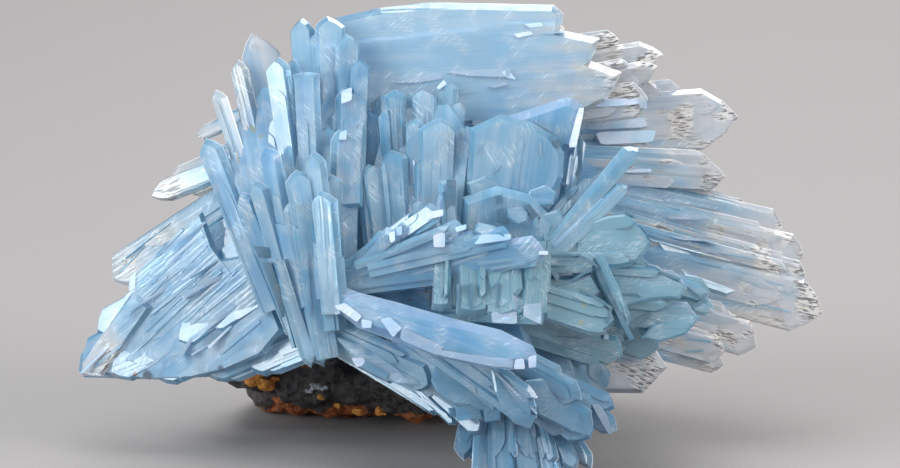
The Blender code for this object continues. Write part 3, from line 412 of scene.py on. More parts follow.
# Orange limonite lumps and pale grains on the matrix: place across and up, size and seed.
LIMONITE = [
    ((-31.6, 11.2), 1.5, 1), ((-29.6, 11.0), 1.9, 2), ((-30.6, 12.6), 1.2, 3),
    ((-28.2, 11.6), 1.0, 4), ((-32.0, 12.6), 0.8, 5), ((-18.0, 7.4), 1.0, 6),
    ((-14.5, 6.4), 1.3, 7), ((-11.0, 6.4), 1.2, 8), ((-20.6, 8.6), 0.8, 9),
]
GRAINS = [
    ((-33.6, 13.2), 0.9, 11), ((-32.6, 13.9), 0.7, 12), ((-29.4, 13.9), 1.3, 13),
    ((-27.6, 14.2), 1.1, 14), ((-28.6, 13.0), 0.8, 15), ((-21.6, 10.4), 1.1, 16),
    ((-22.6, 9.6), 0.8, 17), ((-20.2, 10.0), 0.7, 18),
]
# Broad end faces among the front crystals, by their corners, which way they lean, how clear and
# how grey-green they are.
PANES = [
    ([(20.2, 34.4), (20.0, 31.8), (22.4, 29.9), (25.6, 29.9), (29.9, 30.4), (31.0, 31.7),
      (32.0, 33.1), (31.2, 34.7), (29.6, 36.6), (28.0, 37.9), (25.3, 37.6), (22.4, 36.6)],
     (0.1, 0.2), 0.3, 0.7),
    ([(23.5, 28.5), (24.5, 26.6), (25.9, 24.2), (28.0, 23.2), (32.0, 24.2), (34.9, 24.5),
      (36.8, 24.3), (37.9, 26.6), (33.9, 28.6), (31.7, 29.8), (29.8, 30.1), (26.4, 29.8)],
     (0.1, 0.3), 0.2, 0.6),
    ([(32.2, 20.0), (30.6, 18.1), (33.6, 17.4), (37.8, 18.7), (40.0, 21.4), (38.6, 22.2),
      (35.2, 21.9)], (0.1, 0.2), 0.6, 0.6),
    ([(38.6, 23.0), (39.0, 22.2), (40.8, 21.8), (42.4, 22.2), (41.8, 23.0), (40.5, 23.8)],
     (0.2, 0.3), 0.8, 0.3),
    ([(34.1, 28.8), (35.5, 27.4), (38.1, 25.8), (39.8, 24.5), (41.4, 25.3), (39.7, 26.9),
      (36.8, 27.8)], (0.2, 0.3), 0.5, 0.3),
    ([(8.8, 39.0), (9.1, 37.3), (10.9, 36.0), (12.3, 36.6), (12.8, 38.2), (11.7, 39.5)],
     (0.0, 0.3), 0.3, 0.3),
    ([(2.7, 42.9), (3.2, 40.8), (6.1, 40.3), (8.5, 41.1), (8.0, 43.0), (5.6, 44.0)],
     (0.2, 0.1), 0.2, 0.3),
    ([(12.5, 41.8), (12.3, 40.2), (13.8, 38.9), (16.5, 39.4), (17.0, 41.4), (15.2, 42.7)],
     (-0.1, 0.3), 0.2, 0.3),
    ([(14.4, 37.8), (15.2, 34.1), (17.4, 34.4), (18.6, 36.6), (17.3, 38.6)], (0.2, 0.2), 0.2, 0.4),
    ([(3.8, 35.2), (5.4, 34.1), (8.0, 34.4), (7.2, 36.0), (4.5, 36.6)], (0.0, 0.4), 0.2, 0.2),
    ([(17.0, 26.4), (17.6, 24.2), (21.6, 23.2), (24.0, 25.4), (22.4, 28.2)], (0.1, 0.1), 0.2, 0.7),
    ([(-2.1, 14.1), (-3.1, 11.3), (-2.1, 9.7), (0.7, 7.4), (3.5, 7.2), (4.7, 6.6), (6.0, 6.3),
      (7.8, 7.5), (5.6, 11.3), (2.5, 14.1)], (0.1, 0.6), 0.3, 0.1),
    ([(6.6, 13.1), (7.2, 9.4), (8.4, 6.6), (10.3, 4.4), (12.8, 3.5), (13.9, 5.7), (10.3, 10.3)],
     (0.2, 0.4), 0.3, 0.3),
    ([(11.9, 11.3), (14.1, 5.7), (19.7, 2.9), (22.5, 2.1), (23.1, 3.5), (20.9, 7.8),
      (20.3, 9.4), (16.5, 11.9)], (0.2, 0.3), 0.3, 0.3),
    ([(-18.9, 18.7), (-14.3, 13.8), (-8.4, 10.6), (-2.4, 10.3), (-2.1, 11.3), (-11.8, 16.6)],
     (0.0, 0.7), 0.3, 0.0),
]
# Sheets of crystal between the blades of a fan: outline, depth, how far they go back per
# millimetre up and across, thickness and bevel, then their looks as for the broad plates.
SHEETS = [
    (([(-57.2, 12.9), (-53.4, 12.2), (-48.0, 11.4), (-41.0, 11.7), (-35.5, 13.0), (-30.0, 15.4),
       (-26.6, 19.5), (-31.5, 31.6), (-36.8, 30.6), (-39.6, 38.4), (-50.3, 28.6), (-50.4, 25.6),
       (-56.8, 14.6)], -5.5, 0.11, -0.40, 2.0, 0.4), (219.0, 0.55, 0.0, 9, 0.2)),
    (([(-50.8, 25.4), (-58.8, 14.2), (-59.0, 12.1), (-55.6, 11.9), (-52.2, 16.4), (-47.6, 23.0)],
      -2.7, 0.11, -0.40, 1.6, 0.5), (219.0, 1.5, 0.0, 3, 0.3)),
    (([(-33.6, 38.0), (-30.4, 32.5), (-26.2, 21.0), (-20.5, 24.0), (-16.5, 24.5), (-17.0, 31.0),
       (-25.0, 36.5)], -15.6, 0.065, -0.55, 2.0, 0.4), (98.0, 0.2, 0.0, 3, 0.4)),
    (([(-34.5, 52.0), (-35.5, 44.0), (-32.5, 37.5), (-14.0, 39.0), (-13.2, 57.0), (-18.0, 61.0),
       (-24.0, 60.0), (-30.0, 58.0)], -4.5, 0.63, -0.16, 2.0, 0.4), (98.0, 0.3, 0.0, 4, 0.3)),
    (([(-12.4, 45.0), (-11.5, 36.0), (2.0, 36.0), (3.6, 50.0), (0.0, 55.5), (-10.0, 54.5)],
      -7.6, 0.57, -0.18, 1.6, 0.3), (92.0, 0.2, 0.1, 3, 0.5)),
    (([(27.0, 41.0), (30.0, 37.5), (33.0, 32.5), (38.0, 26.5), (44.0, 24.5), (50.0, 26.5),
       (49.5, 31.0), (46.0, 36.0), (39.0, 42.0)],
      3.0, 0.59, 0.32, 2.0, 0.4), (-12.0, 0.85, 0.1, 3, 0.3)),
]
# Where thin crystals lie along the bigger ones: the region across and up, which way they run in
# degrees and how much that varies, how many, their longest and widest, how clear and grey-green.
SPROUTS = [
    ((-39.0, -17.0), (26.0, 58.0), 99, 4, 14, 12.0, 0.9, 0.3, 0.0),
    ((-12.0, 3.0), (37.0, 56.0), 92, 4, 10, 8.0, 0.8, 0.3, 0.1),
    ((-54.0, -26.0), (14.0, 36.0), 219, 5, 44, 14.0, 0.9, 0.5, 0.0),
    ((24.0, 52.0), (18.0, 47.0), -13, 4, 24, 12.0, 0.9, 0.9, 0.1),
    ((2.0, 17.0), (36.0, 51.0), 70, 30, 10, 4.0, 1.0, 0.2, 0.3),
    ((-16.0, 15.0), (28.0, 36.0), 18, 8, 16, 7.0, 1.0, 0.3, 0.1),
    ((16.0, 40.0), (15.0, 37.0), -10, 15, 16, 6.0, 1.2, 0.4, 0.6),
    ((-16.0, 25.0), (3.0, 16.0), -28, 6, 18, 8.0, 1.0, 0.4, 0.0),
]


def sight(across, up):
    """The eye in front, and its line through the place this far across and up."""
    eye = Vector((0.0, -math.cos(FRONT_TILT), math.sin(FRONT_TILT))) * FRONT_DISTANCE
    eye.z += FRONT_AIM
    rise = up * MM - FRONT_AIM * math.cos(FRONT_TILT)
    seen = Vector((across * MM, rise * math.sin(FRONT_TILT), rise * math.cos(FRONT_TILT)))
    seen.z += FRONT_AIM
    return eye - Vector((0.0, FOOTPRINT_CENTRE, 0.0)), seen - eye


def front_point(across, up, depth):
    """The point that stands this far across and up as seen from the front, at this depth."""
    eye, ray = sight(across, up)
    return eye + ray * ((depth * MM - FOOTPRINT_CENTRE - eye.y) / ray.y)


def on_plane(across, up, point, normal):
    """The point of a plane that stands this far across and up as seen from the front."""
    eye, ray = sight(across, up)
    return eye + ray * ((point - eye).dot(normal) / ray.dot(normal))


def tip_outline(length, width, lean, blunt, root_share=ROOT_SHARE):
    """A crystal's outline in its plane: a narrower root, straight sides, a gothic tip."""
    half = width / 2
    tip = blunt * width
    apex = lean * half * APEX_LEAN
    root = half * root_share
    near = max(length - tip, length * 0.3)
    turn = length - tip * TIP_TURN
    return [
        (0.0, -root), (near, -half), (turn, -half + (half + apex) * TURN_RISE), (length, apex),
        (turn, half - (half - apex) * TURN_RISE), (near, half), (0.0, root),
    ]


def inset(outline, distance):
    """The same outline with every side moved inwards, for one that runs counter-clockwise."""
    points = [Vector(point) for point in outline]
    moved = []
    for before, here, after in zip([points[-1]] + points, points, points[1:] + points[:1]):
        into = (here - before).normalized()
        out = (after - here).normalized()
        inwards = Vector((-into.y - out.y, into.x + out.x)).normalized()
        moved.append(here + inwards * (distance / inwards.dot(Vector((-into.y, into.x)))))
    return moved


class Shape:
    """Collects closed solids, whose corners know their place, their looks and their facet."""

    def __init__(self):
        self.solids = []

    def stack(self, rings, parts, kind):
        """A closed solid from rings of points with their places, from its back to its front."""
        mesh = bmesh.new()
        place, looks, facet = [mesh.loops.layers.uv.new(n) for n in ("place", "looks", "facet")]
        levels = [[(mesh.verts.new(point), spot) for point, spot in ring] for ring in rings]
        faces = [(levels[0][::-1], parts[0]), (levels[-1], parts[-1])]
        for lower, upper, part in zip(levels, levels[1:], parts[1:]):
            for i in range(len(lower)):
                j = (i + 1) % len(lower)
                faces.append(((lower[i], lower[j], upper[j], upper[i]), part))
        clear, grey, own = kind
        along = [spot[0] for ring in rings for _, spot in ring]
        start, reach = min(along), max(along) - min(along)
        for corners, part in faces:
            face = mesh.faces.new([vert for vert, _ in corners])
            for loop, (_, spot) in zip(face.loops, corners):
                loop[place].uv = (spot[0] / 0.1 + own * 7.0, spot[1] / 0.1 + own * 11.0)
                loop[looks].uv = (clear * (spot[0] - start) / reach, grey)
                loop[facet].uv = (part, own)
        bmesh.ops.recalc_face_normals(mesh, faces=mesh.faces)
        data = bpy.data.meshes.new("crystal")
        mesh.to_mesh(data)
        mesh.free()
        self.solids.append(bpy.data.objects.new("crystal", data))

    def slab(self, outline, inner, origin, axes, thickness, kind, rim=0.0, grain=0.0):
        """A plate with bevelled rims: the outline at mid thickness, the inner one on both faces."""
        along, across, normal = axes
        levels = [-1.0, 0.0, 1.0]
        parts = [BROAD, BEVEL, BEVEL, BROAD]
        if rim:
            levels = [-1.0, -rim, 0.0, rim, 1.0]
            parts = [BROAD, BEVEL, RIM, RIM, BEVEL, BROAD]
        cos, sin = math.cos(grain), math.sin(grain)
        rings = []
        for level in levels:
            ring = []
            for outer, shrunk in zip(outline, inner):
                u, v = Vector(outer).lerp(Vector(shrunk), abs(level))
                point = origin + along * u + across * v + normal * (thickness / 2 * level)
                ring.append((point, (u * cos + v * sin, v * cos - u * sin)))
            rings.append(ring)
        self.stack(rings, parts, kind)

    def blade(self, length, width, thickness, lean, blunt, origin, axes, bevel, kind, root, rim):
        """A crystal in its own plane, from its root to its tip."""
        bevel = min(bevel, thickness * 0.45, width * BEVEL_OF_WIDTH)
        outline = tip_outline(length, width, lean, blunt, root)
        inner = tip_outline(length - POINT_PULL * bevel, width - 2 * bevel, lean, blunt, root)
        self.slab(outline, inner, origin, axes, thickness, kind, rim / bevel)

    def joined(self, name):
        """All the solids as one closed skin."""
        group = bpy.data.collections.new("crystals")
        bpy.context.scene.collection.children.link(group)
        whole, others = self.solids[0], self.solids[1:]
        bpy.context.scene.collection.objects.link(whole)
        for other in others:
            group.objects.link(other)
        step = whole.modifiers.new("join", "BOOLEAN")
        step.operation = "UNION"
        step.operand_type = "COLLECTION"
        step.collection = group
        step.solver = "MANIFOLD"
        bpy.context.view_layer.update()
        graph = bpy.context.evaluated_depsgraph_get()
        data = bpy.data.meshes.new_from_object(whole.evaluated_get(graph))
        whole.modifiers.clear()
        whole.data = data
        whole.name = name
        data.name = name
        for other in others:
            bpy.data.objects.remove(other)
        bpy.data.collections.remove(group)
        return whole


def steps(shape, rng, length, width, thickness, origin, axes, kind, count):
    """Growth steps: thin parallel plates on a crystal's broad faces, that end short of its tip."""
    along, side, face = axes
    for _ in range(count):
        part = rng.uniform(0.14, 0.60)
        shift = rng.uniform(-0.5, 0.5) * (0.84 - part)
        ends = rng.uniform(0.45, 0.96)
        proud = rng.uniform(0.08, 0.34) * MM
        thin = thickness + 2 * proud if rng.random() < 0.35 else thickness * 0.5 + proud
        middle = 0.0 if thin > thickness else (thickness * 0.5 + proud) / 2
        towards = face * (middle if rng.random() < 0.75 else -middle)
        base = origin + side * (shift * width) + towards
        shape.blade(length * ends, width * part, max(thin, 0.3 * MM), rng.uniform(-0.9, 0.9),
                    rng.uniform(0.3, 1.2), base, axes, STEP_BEVEL, kind, 1.0, 0.0)


def crystal(shape, tip, root, width, thickness, turn, lean, blunt, rng, looks, sides, fine):
    """One tabular crystal with its growth steps and the narrower blades that grew beside it."""
    clear, grey = looks
    end = front_point(*tip)
    start = front_point(*root)
    length = (end - start).length
    along = (end - start).normalized()
    facing = Vector((0.0, -math.cos(FRONT_TILT), math.sin(FRONT_TILT)))
    across = facing.cross(along).normalized()
    normal = along.cross(across)
    angle = math.radians(turn + rng.uniform(-3.0, 3.0))
    side = across * math.cos(angle) + normal * math.sin(angle)
    face = along.cross(side)
    width *= MM
    thickness *= MM
    kind = (clear, grey + rng.uniform(-0.15, 0.15), rng.random())
    bevel = min(BEVEL_MOST, thickness * BEVEL_SHARE)
    axes = (along, side, face)
    shape.blade(length, width, thickness, lean, blunt, start, axes, bevel, kind, ROOT_SHARE,
                RIM_WIDTH)
    steps(shape, rng, length, width, thickness, start, axes, kind, fine)
    for i in range(sides):
        way = 1 if (i % 2 == 0) == (rng.random() < 0.8) else -1
        part = rng.uniform(0.32, 0.62)
        shift = way * rng.uniform(0.26, 0.44) * width
        deep = rng.uniform(-0.45, 0.45) * thickness
        reach = length * rng.uniform(0.70, 0.965)
        skew = math.radians(rng.uniform(-1.6, 1.6))
        off = along * math.cos(skew) + side * math.sin(skew)
        beside = face.cross(off).normalized()
        base = start + side * shift + face * deep
        thick = thickness * rng.uniform(0.5, 0.95)
        own = (clear, grey + rng.uniform(-0.15, 0.15), rng.random())
        shape.blade(reach, width * part, thick, rng.uniform(-0.8, 0.8), rng.uniform(0.35, 1.1),
                    base, (off, beside, face), bevel, own, 0.9, RIM_WIDTH)
        steps(shape, rng, reach, width * part, thick, base, (off, beside, face), own, 1)


def ridges(shape, flat, origin, axes, thickness, kind, grain, count, rng):
    """Low growth ridges along the grain of a broad plate's front face."""
    along, across, normal = axes
    cos, sin = math.cos(grain), math.sin(grain)
    ahead = along * cos + across * sin
    beside = across * cos - along * sin
    turned = [(p.x * cos + p.y * sin, p.y * cos - p.x * sin) for p in flat]
    low = min(v for _, v in turned)
    high = max(v for _, v in turned)
    for _ in range(count):
        width = rng.uniform(0.06, 0.22) * (high - low)
        middle = rng.uniform(low + width, high - width)
        cuts = []
        for (u0, v0), (u1, v1) in zip(turned, turned[1:] + turned[:1]):
            for level in (middle - width / 2, middle + width / 2):
                if (v0 - level) * (v1 - level) < 0.0:
                    cuts.append(u0 + (u1 - u0) * (level - v0) / (v1 - v0))
        cuts.sort()
        if len(cuts) < 4:
            continue
        start, end = cuts[1] + 0.5 * MM, cuts[-2] - 0.5 * MM
        length = (end - start) * rng.uniform(0.35, 0.95)
        proud = rng.uniform(0.04, 0.14) * MM
        base = origin + ahead * start + beside * middle
        base += normal * (thickness / 2 - 0.3 * MM + proud)
        shape.blade(length, width, 0.6 * MM, rng.uniform(-0.8, 0.8), rng.uniform(0.4, 1.0), base,
                    (ahead, beside, normal), STEP_BEVEL, kind, 1.0, 0.0)


def set_pane(shape, tree, corners, lean, kind):
    """A crystal's broad end face with its bevels, set in the surface that is seen there."""
    middle = [sum(values) / len(corners) for values in zip(*corners)]
    spot, distance, ray = met(tree, *middle)
    if spot is None:
        return
    normal = Vector((lean[0], -1.0, lean[1])).normalized()
    anchor = sight(*middle)[0] + ray * (distance - 0.5 * MM)
    inner = inset(corners, PANE_BEVEL / MM)
    rings = []
    for ring, push in ((corners, 2.5 * MM), (corners, 0.3 * MM), (inner, 0.0)):
        points = [on_plane(x, up, anchor, normal) + ray * push for x, up in ring]
        rings.append([(point, (x * MM, up * MM)) for point, (x, up) in zip(points, ring)])
    shape.stack(rings, [BROAD, BEVEL, BEVEL, BROAD], kind)


def lies_flush(tree, middle, along, length):
    """Whether the surface runs close along a thin crystal from end to end."""
    eye = sight(0.0, 0.0)[0]
    for share in FLUSH_AT:
        point = middle + along * (length * share)
        spot = tree.ray_cast(eye, (point - eye).normalized())[0]
        if spot is None or (spot - point).length > FLUSH_WITHIN:
            return False
    return True


def sprouts(shape, tree, row, rng):
    """Thin crystals that lie sunk in the surface of the bigger ones."""
    (x0, x1), (low, high), degrees, spread, count, longest, widest, clear, grey = row
    facing = Vector((0.0, -math.cos(FRONT_TILT), math.sin(FRONT_TILT)))
    right = Vector((1.0, 0.0, 0.0))
    rise = facing.cross(right)
    for _ in range(count):
        across, up = rng.uniform(x0, x1), rng.uniform(low, high)
        turn = math.radians(degrees + rng.uniform(-spread, spread))
        length = rng.uniform(0.4, 1.0) * longest * MM
        width = rng.uniform(0.35, 1.0) * widest * MM
        lean, blunt = rng.uniform(-0.9, 0.9), rng.uniform(0.6, 1.4)
        proud = rng.uniform(0.10, 0.28) * MM
        kind = (clear * rng.uniform(0.4, 1.0), grey + rng.uniform(-0.2, 0.2), rng.random())
        eye, ray = sight(across, up)
        spot, normal, _, _ = tree.ray_cast(eye, ray.normalized())
        if spot is None or abs(normal.dot(facing)) < 0.5:
            continue
        face = normal if normal.dot(facing) > 0.0 else -normal
        along = right * math.cos(turn) + rise * math.sin(turn)
        along = (along - face * along.dot(face)).normalized()
        if not lies_flush(tree, spot, along, length):
            continue
        base = spot - along * (length * 0.5) - face * (0.5 * MM - proud)
        shape.blade(length, width, MM, lean, blunt, base, (along, face.cross(along), face),
                    0.12 * MM, kind, 0.8, 0.0)


def broad_plate(shape, row, looks, rng):
    """A broad plate in a plane that faces the front, by the outline that it shows there."""
    outline, depth, back_per_up, back_per_across, thickness, bevel = row
    degrees, clear, grey, count, own = looks
    middle = [sum(values) / len(outline) for values in zip(*outline)]
    origin = front_point(*middle, depth)
    normal = Vector((back_per_across, -1.0, back_per_up)).normalized()
    across = (Vector((1.0, 0.0, 0.0)) - normal * normal.x).normalized()
    rise = normal.cross(across)
    places = [on_plane(x, up, origin, normal) - origin for x, up in outline]
    flat = [Vector((place.dot(across), place.dot(rise))) for place in places]
    kind = (clear, grey, own)
    axes = (across, rise, normal)
    grain = math.radians(degrees)
    bevel *= MM
    shape.slab(flat, inset(flat, bevel), origin, axes, thickness * MM, kind, RIM_WIDTH / bevel,
               grain)
    kind = (0.25 * clear, grey, kind[2])
    ridges(shape, flat, origin, axes, thickness * MM, kind, grain, count, rng)


def between(first, second, share, rng):
    """A crystal that fills the room between two neighbours, a little shorter than both."""
    tip = [a + (b - a) * share for a, b in zip(first[0], second[0])]
    root = [a + (b - a) * share for a, b in zip(first[1], second[1])]
    short = rng.uniform(0.74, 0.95)
    tip = [r + (t - r) * short for t, r in zip(tip, root)]
    tip[2] += rng.uniform(-0.5, 2.0)
    rest = [a + (b - a) * share for a, b in zip(first[2:], second[2:])]
    rest[0] *= rng.uniform(0.6, 0.95)
    rest[1] *= rng.uniform(0.6, 0.9)
    return [tip, root] + rest


def spray():
    """Every crystal of the spray, as closed solids that grow through one another."""
    rng = random.Random(11)
    shape = Shape()
    for rows, clear, grey, sides, fillers, fine in FANS:
        for row in rows:
            crystal(shape, *row, rng, (clear, grey), sides, fine)
        for first, second in zip(rows, rows[1:]):
            if (Vector(first[0]) - Vector(second[0])).length > 16:
                continue
            for i in range(fillers):
                share = (i + rng.uniform(0.35, 0.65)) / fillers
                crystal(shape, *between(first, second, share, rng), rng, (clear, grey), 1, 2)
    for tip, width, thickness in BACK_FAN:
        root = [a + rng.uniform(-4.0, 4.0) for a in (0.0, 31.0, 8.0)]
        turn = rng.uniform(-35.0, 35.0)
        crystal(shape, tip, root, width, thickness, turn, rng.uniform(-0.5, 0.5),
                rng.uniform(0.35, 0.6), rng, (0.6, 0.1), 4, 3)
    for tip, root, width, thickness, turn in HEART:
        crystal(shape, tip, root, width, thickness, turn, 0.0, 0.4, rng, (0.1, 0.1), 0, 0)
    for row, looks in list(zip(PLATES, PLATE_LOOKS)) + SHEETS:
        broad_plate(shape, row, looks, rng)
    return shape


def skin(solids):
    """The surfaces of these solids, for finding what a line of sight meets first."""
    corners, faces = [], []
    for solid in solids:
        base = len(corners)
        corners += [vert.co.copy() for vert in solid.data.vertices]
        faces += [[base + i for i in face.vertices] for face in solid.data.polygons]
    return BVHTree.FromPolygons(corners, faces)


def met(tree, across, up):
    """Where the eye in front meets the skin, how far off, and along which line."""
    eye, ray = sight(across, up)
    ray.normalize()
    spot, _, _, distance = tree.ray_cast(eye, ray)
    return spot, distance, ray


def worn(corners):
    """A facet's outline with its corners worn off."""
    points = [Vector(corner) for corner in corners]
    outline = []
    for before, here, after in zip([points[-1]] + points, points, points[1:] + points[:1]):
        outline += [here.lerp(before, WORN), here.lerp(after, WORN)]
    return outline


def set_in(shape, tree, corners, lean, facet, proud, deep, own):
    """A flat facet that stands a little proud of the surface where these corners are seen."""
    middle = [sum(values) / len(corners) for values in zip(*corners)]
    spot, distance, ray = met(tree, *middle)
    if spot is None:
        return
    for corner in corners:
        near = met(tree, *[m + (c - m) * 0.7 for m, c in zip(middle, corner)])[1]
        if near and distance - 1.6 * MM < near < distance:
            distance = near
    normal = Vector((lean[0], -1.0, lean[1])).normalized()
    anchor = sight(*middle)[0] + ray * (distance - proud)
    front = [on_plane(x, up, anchor, normal) for x, up in corners]
    back = [point + ray * deep for point in front]
    places = [(x * MM, up * MM) for x, up in corners]
    rings = [list(zip(back, places)), list(zip(front, places))]
    shape.stack(rings, [facet, facet, facet], (0.3, 0.2, own))


def set_facets(shape, tree):
    """The small facets and the narrow edge faces, coloured as painted highlights or painted shade."""
    rng = random.Random(3)
    for corners, lean, clear, grey in PANES:
        set_pane(shape, tree, corners, lean, (clear, grey, rng.random()))
    for row in SPROUTS:
        sprouts(shape, tree, row, rng)
    tree = skin(shape.solids)
    for corners, lean, facet in FACETS:
        if facet in (BRIGHT, PALE):
            corners = worn(corners)
        set_in(shape, tree, corners, lean, facet, 0.25 * MM, 1.6 * MM, rng.random())
    for line, width, facet in RIBBONS:
        for (x0, y0), (x1, y1) in zip(line, line[1:]):
            ahead = Vector((x1 - x0, y1 - y0)).normalized()
            off = Vector((-ahead.y, ahead.x)) * (width / 2)
            x0, y0 = x0 - ahead.x * 0.08, y0 - ahead.y * 0.08
            x1, y1 = x1 + ahead.x * 0.08, y1 + ahead.y * 0.08
            corners = [(x0 - off.x, y0 - off.y), (x1 - off.x, y1 - off.y),
                       (x1 + off.x, y1 + off.y), (x0 + off.x, y0 + off.y)]
            set_in(shape, tree, corners, (0.0, 0.2), facet, 0.12 * MM, 0.9 * MM, rng.random())


def outer_skin(piece):
    """Leave out the sealed pockets that no light path from outside should meet."""
    mesh = bmesh.new()
    mesh.from_mesh(piece.data)
    seen = set()
    for start in mesh.faces:
        if start in seen:
            continue
        seen.add(start)
        shell, queue = [start], [start]
        while queue:
            for edge in queue.pop().edges:
                for face in edge.link_faces:
                    if face not in seen:
                        seen.add(face)
                        shell.append(face)
                        queue.append(face)
        volume = 0.0
        for face in shell:
            corners = [v.co for v in face.verts]
            for b, c in zip(corners[1:], corners[2:]):
                volume += corners[0].dot(b.cross(c))
        if volume <= 0.0:
            bmesh.ops.delete(mesh, geom=shell, context="FACES")
    mesh.to_mesh(piece.data)
    mesh.free()


def lump(centre, size, seed, detail=4):
    """A rough lump of rock round this point in metres, flat below z = 0."""
    mesh = bmesh.new()
    bmesh.ops.create_icosphere(mesh, subdivisions=detail, radius=1.0)
    shift = Vector((seed * 7.3, seed * 3.1, seed * 5.7))
    for vert in mesh.verts:
        rough = 1.0 + 0.22 * noise.noise(vert.co * 1.7 + shift)
        rough += 0.10 * noise.noise(vert.co * 4.1 + shift)
        place = Vector([vert.co[i] * size[i] * MM * rough for i in range(3)])
        place += centre
        place.z = max(place.z, 0.0)
        vert.co = place
    data = bpy.data.meshes.new("lump")
    mesh.to_mesh(data)
    mesh.free()
    return bpy.data.objects.new("lump", data)


def joined(solids, name):
    """These solids as one closed skin."""
    shape = Shape()
    shape.solids = solids
    return shape.joined(name)


def roughen(piece, voxel, amounts):
    """Remesh a rock finely and push its surface in and out by layers of noise."""
    step = piece.modifiers.new("grain", "REMESH")
    step.mode = "VOXEL"
    step.voxel_size = voxel
    bpy.context.view_layer.update()
    graph = bpy.context.evaluated_depsgraph_get()
    data = bpy.data.meshes.new_from_object(piece.evaluated_get(graph))
    piece.modifiers.clear()
    piece.data = data
    normals = [v.normal.copy() for v in data.vertices]
    for vert, normal in zip(data.vertices, normals):
        push = 0.0
        for scale, amount in amounts:
            push += amount * (noise.noise(vert.co * scale) - 0.25)
        spot = vert.co + normal * push
        spot.z = max(spot.z, 0.0)
        vert.co = spot
    for polygon in data.polygons:
        polygon.use_smooth = False


def growths(rows, tree, name, voxel, amounts):
    """Small lumps that grew on the matrix, where the eye in front meets it."""
    lumps = []
    for place, size, seed in rows:
        spot, _, ray = met(tree, *place)
        if spot is not None:
            sizes = (size, size * 0.8, size * 0.75)
            lumps.append(lump(spot + ray * (0.3 * size * MM), sizes, seed, 3))
    piece = joined(lumps, name)
    roughen(piece, voxel, amounts)
    return piece


def node(tree, kind, **values):
    """A shader node with its properties."""
    made = tree.nodes.new(kind)
    for name, value in values.items():
        setattr(made, name, value)
    return made


def ramp(tree, source, low, high, start=0.0, end=1.0):
    """A value that goes from start to end while the source goes from low to high."""
    made = node(tree, "ShaderNodeMapRange", interpolation_type="SMOOTHSTEP")
    tree.links.new(source, made.inputs["Value"])
    made.inputs["From Min"].default_value = low
    made.inputs["From Max"].default_value = high
    made.inputs["To Min"].default_value = start
    made.inputs["To Max"].default_value = end
    return made.outputs["Result"]


def mixed(tree, factor, first, second):
    """A colour between two colours or sockets."""
    made = node(tree, "ShaderNodeMix", data_type="RGBA")
    tree.links.new(factor, made.inputs[0])
    for socket, value in ((made.inputs[6], first), (made.inputs[7], second)):
        if isinstance(value, tuple):
            socket.default_value = (*value, 1.0)
        else:
            tree.links.new(value, socket)
    return made.outputs[2]


def maths(tree, operation, first, second):
    """A sum, product or other operation on two values or sockets."""
    made = node(tree, "ShaderNodeMath", operation=operation)
    for socket, value in zip(made.inputs, (first, second)):
        if isinstance(value, (int, float)):
            socket.default_value = value
        else:
            tree.links.new(value, socket)
    return made.outputs[0]


def both(tree, *values):
    """The product of several masks."""
    result = values[0]
    for value in values[1:]:
        result = maths(tree, "MULTIPLY", result, value)
    return result


def clouds(tree, vector, scale, detail, rough=0.55):
    """Soft noise at this scale."""
    made = node(tree, "ShaderNodeTexNoise")
    made.inputs["Scale"].default_value = scale
    made.inputs["Detail"].default_value = detail
    made.inputs["Roughness"].default_value = rough
    tree.links.new(vector, made.inputs["Vector"])
    return made.outputs[0]


def fresh(name):
    """A new material with its tree and its shader."""
    material = bpy.data.materials.new(name)
    material.use_nodes = True
    tree = material.node_tree
    return material, tree, tree.nodes["Principled BSDF"]


def stretched(tree, place, along, across, where, shift, turn=0.0):
    """Coordinates that run along and across each crystal, stretched by these two scales."""
    scale = node(tree, "ShaderNodeMapping", vector_type="TEXTURE")
    scale.inputs["Rotation"].default_value = (0.0, 0.0, math.radians(turn))
    scale.inputs["Scale"].default_value = (1.0 / along, 1.0 / across, 1.0)
    tree.links.new(place, scale.inputs["Vector"])
    moved = node(tree, "ShaderNodeVectorMath", operation="MULTIPLY_ADD")
    tree.links.new(where, moved.inputs[0])
    moved.inputs[1].default_value = (shift, shift, shift)
    tree.links.new(scale.outputs[0], moved.inputs[2])
    return moved.outputs[0]


def spotted(tree, where, colour, rough_edge, spots):
    """Stains and specks of their own colours round given points."""
    for centre, radius, tone in spots:
        apart = node(tree, "ShaderNodeVectorMath", operation="DISTANCE")
        tree.links.new(where, apart.inputs[0])
        apart.inputs[1].default_value = centre
        edge = maths(tree, "MULTIPLY", apart.outputs["Value"], rough_edge)
        mask = ramp(tree, edge, radius * MM * 0.9, radius * MM * 0.4, 0.0, 0.75)
        colour = mixed(tree, mask, colour, tone)
    return colour


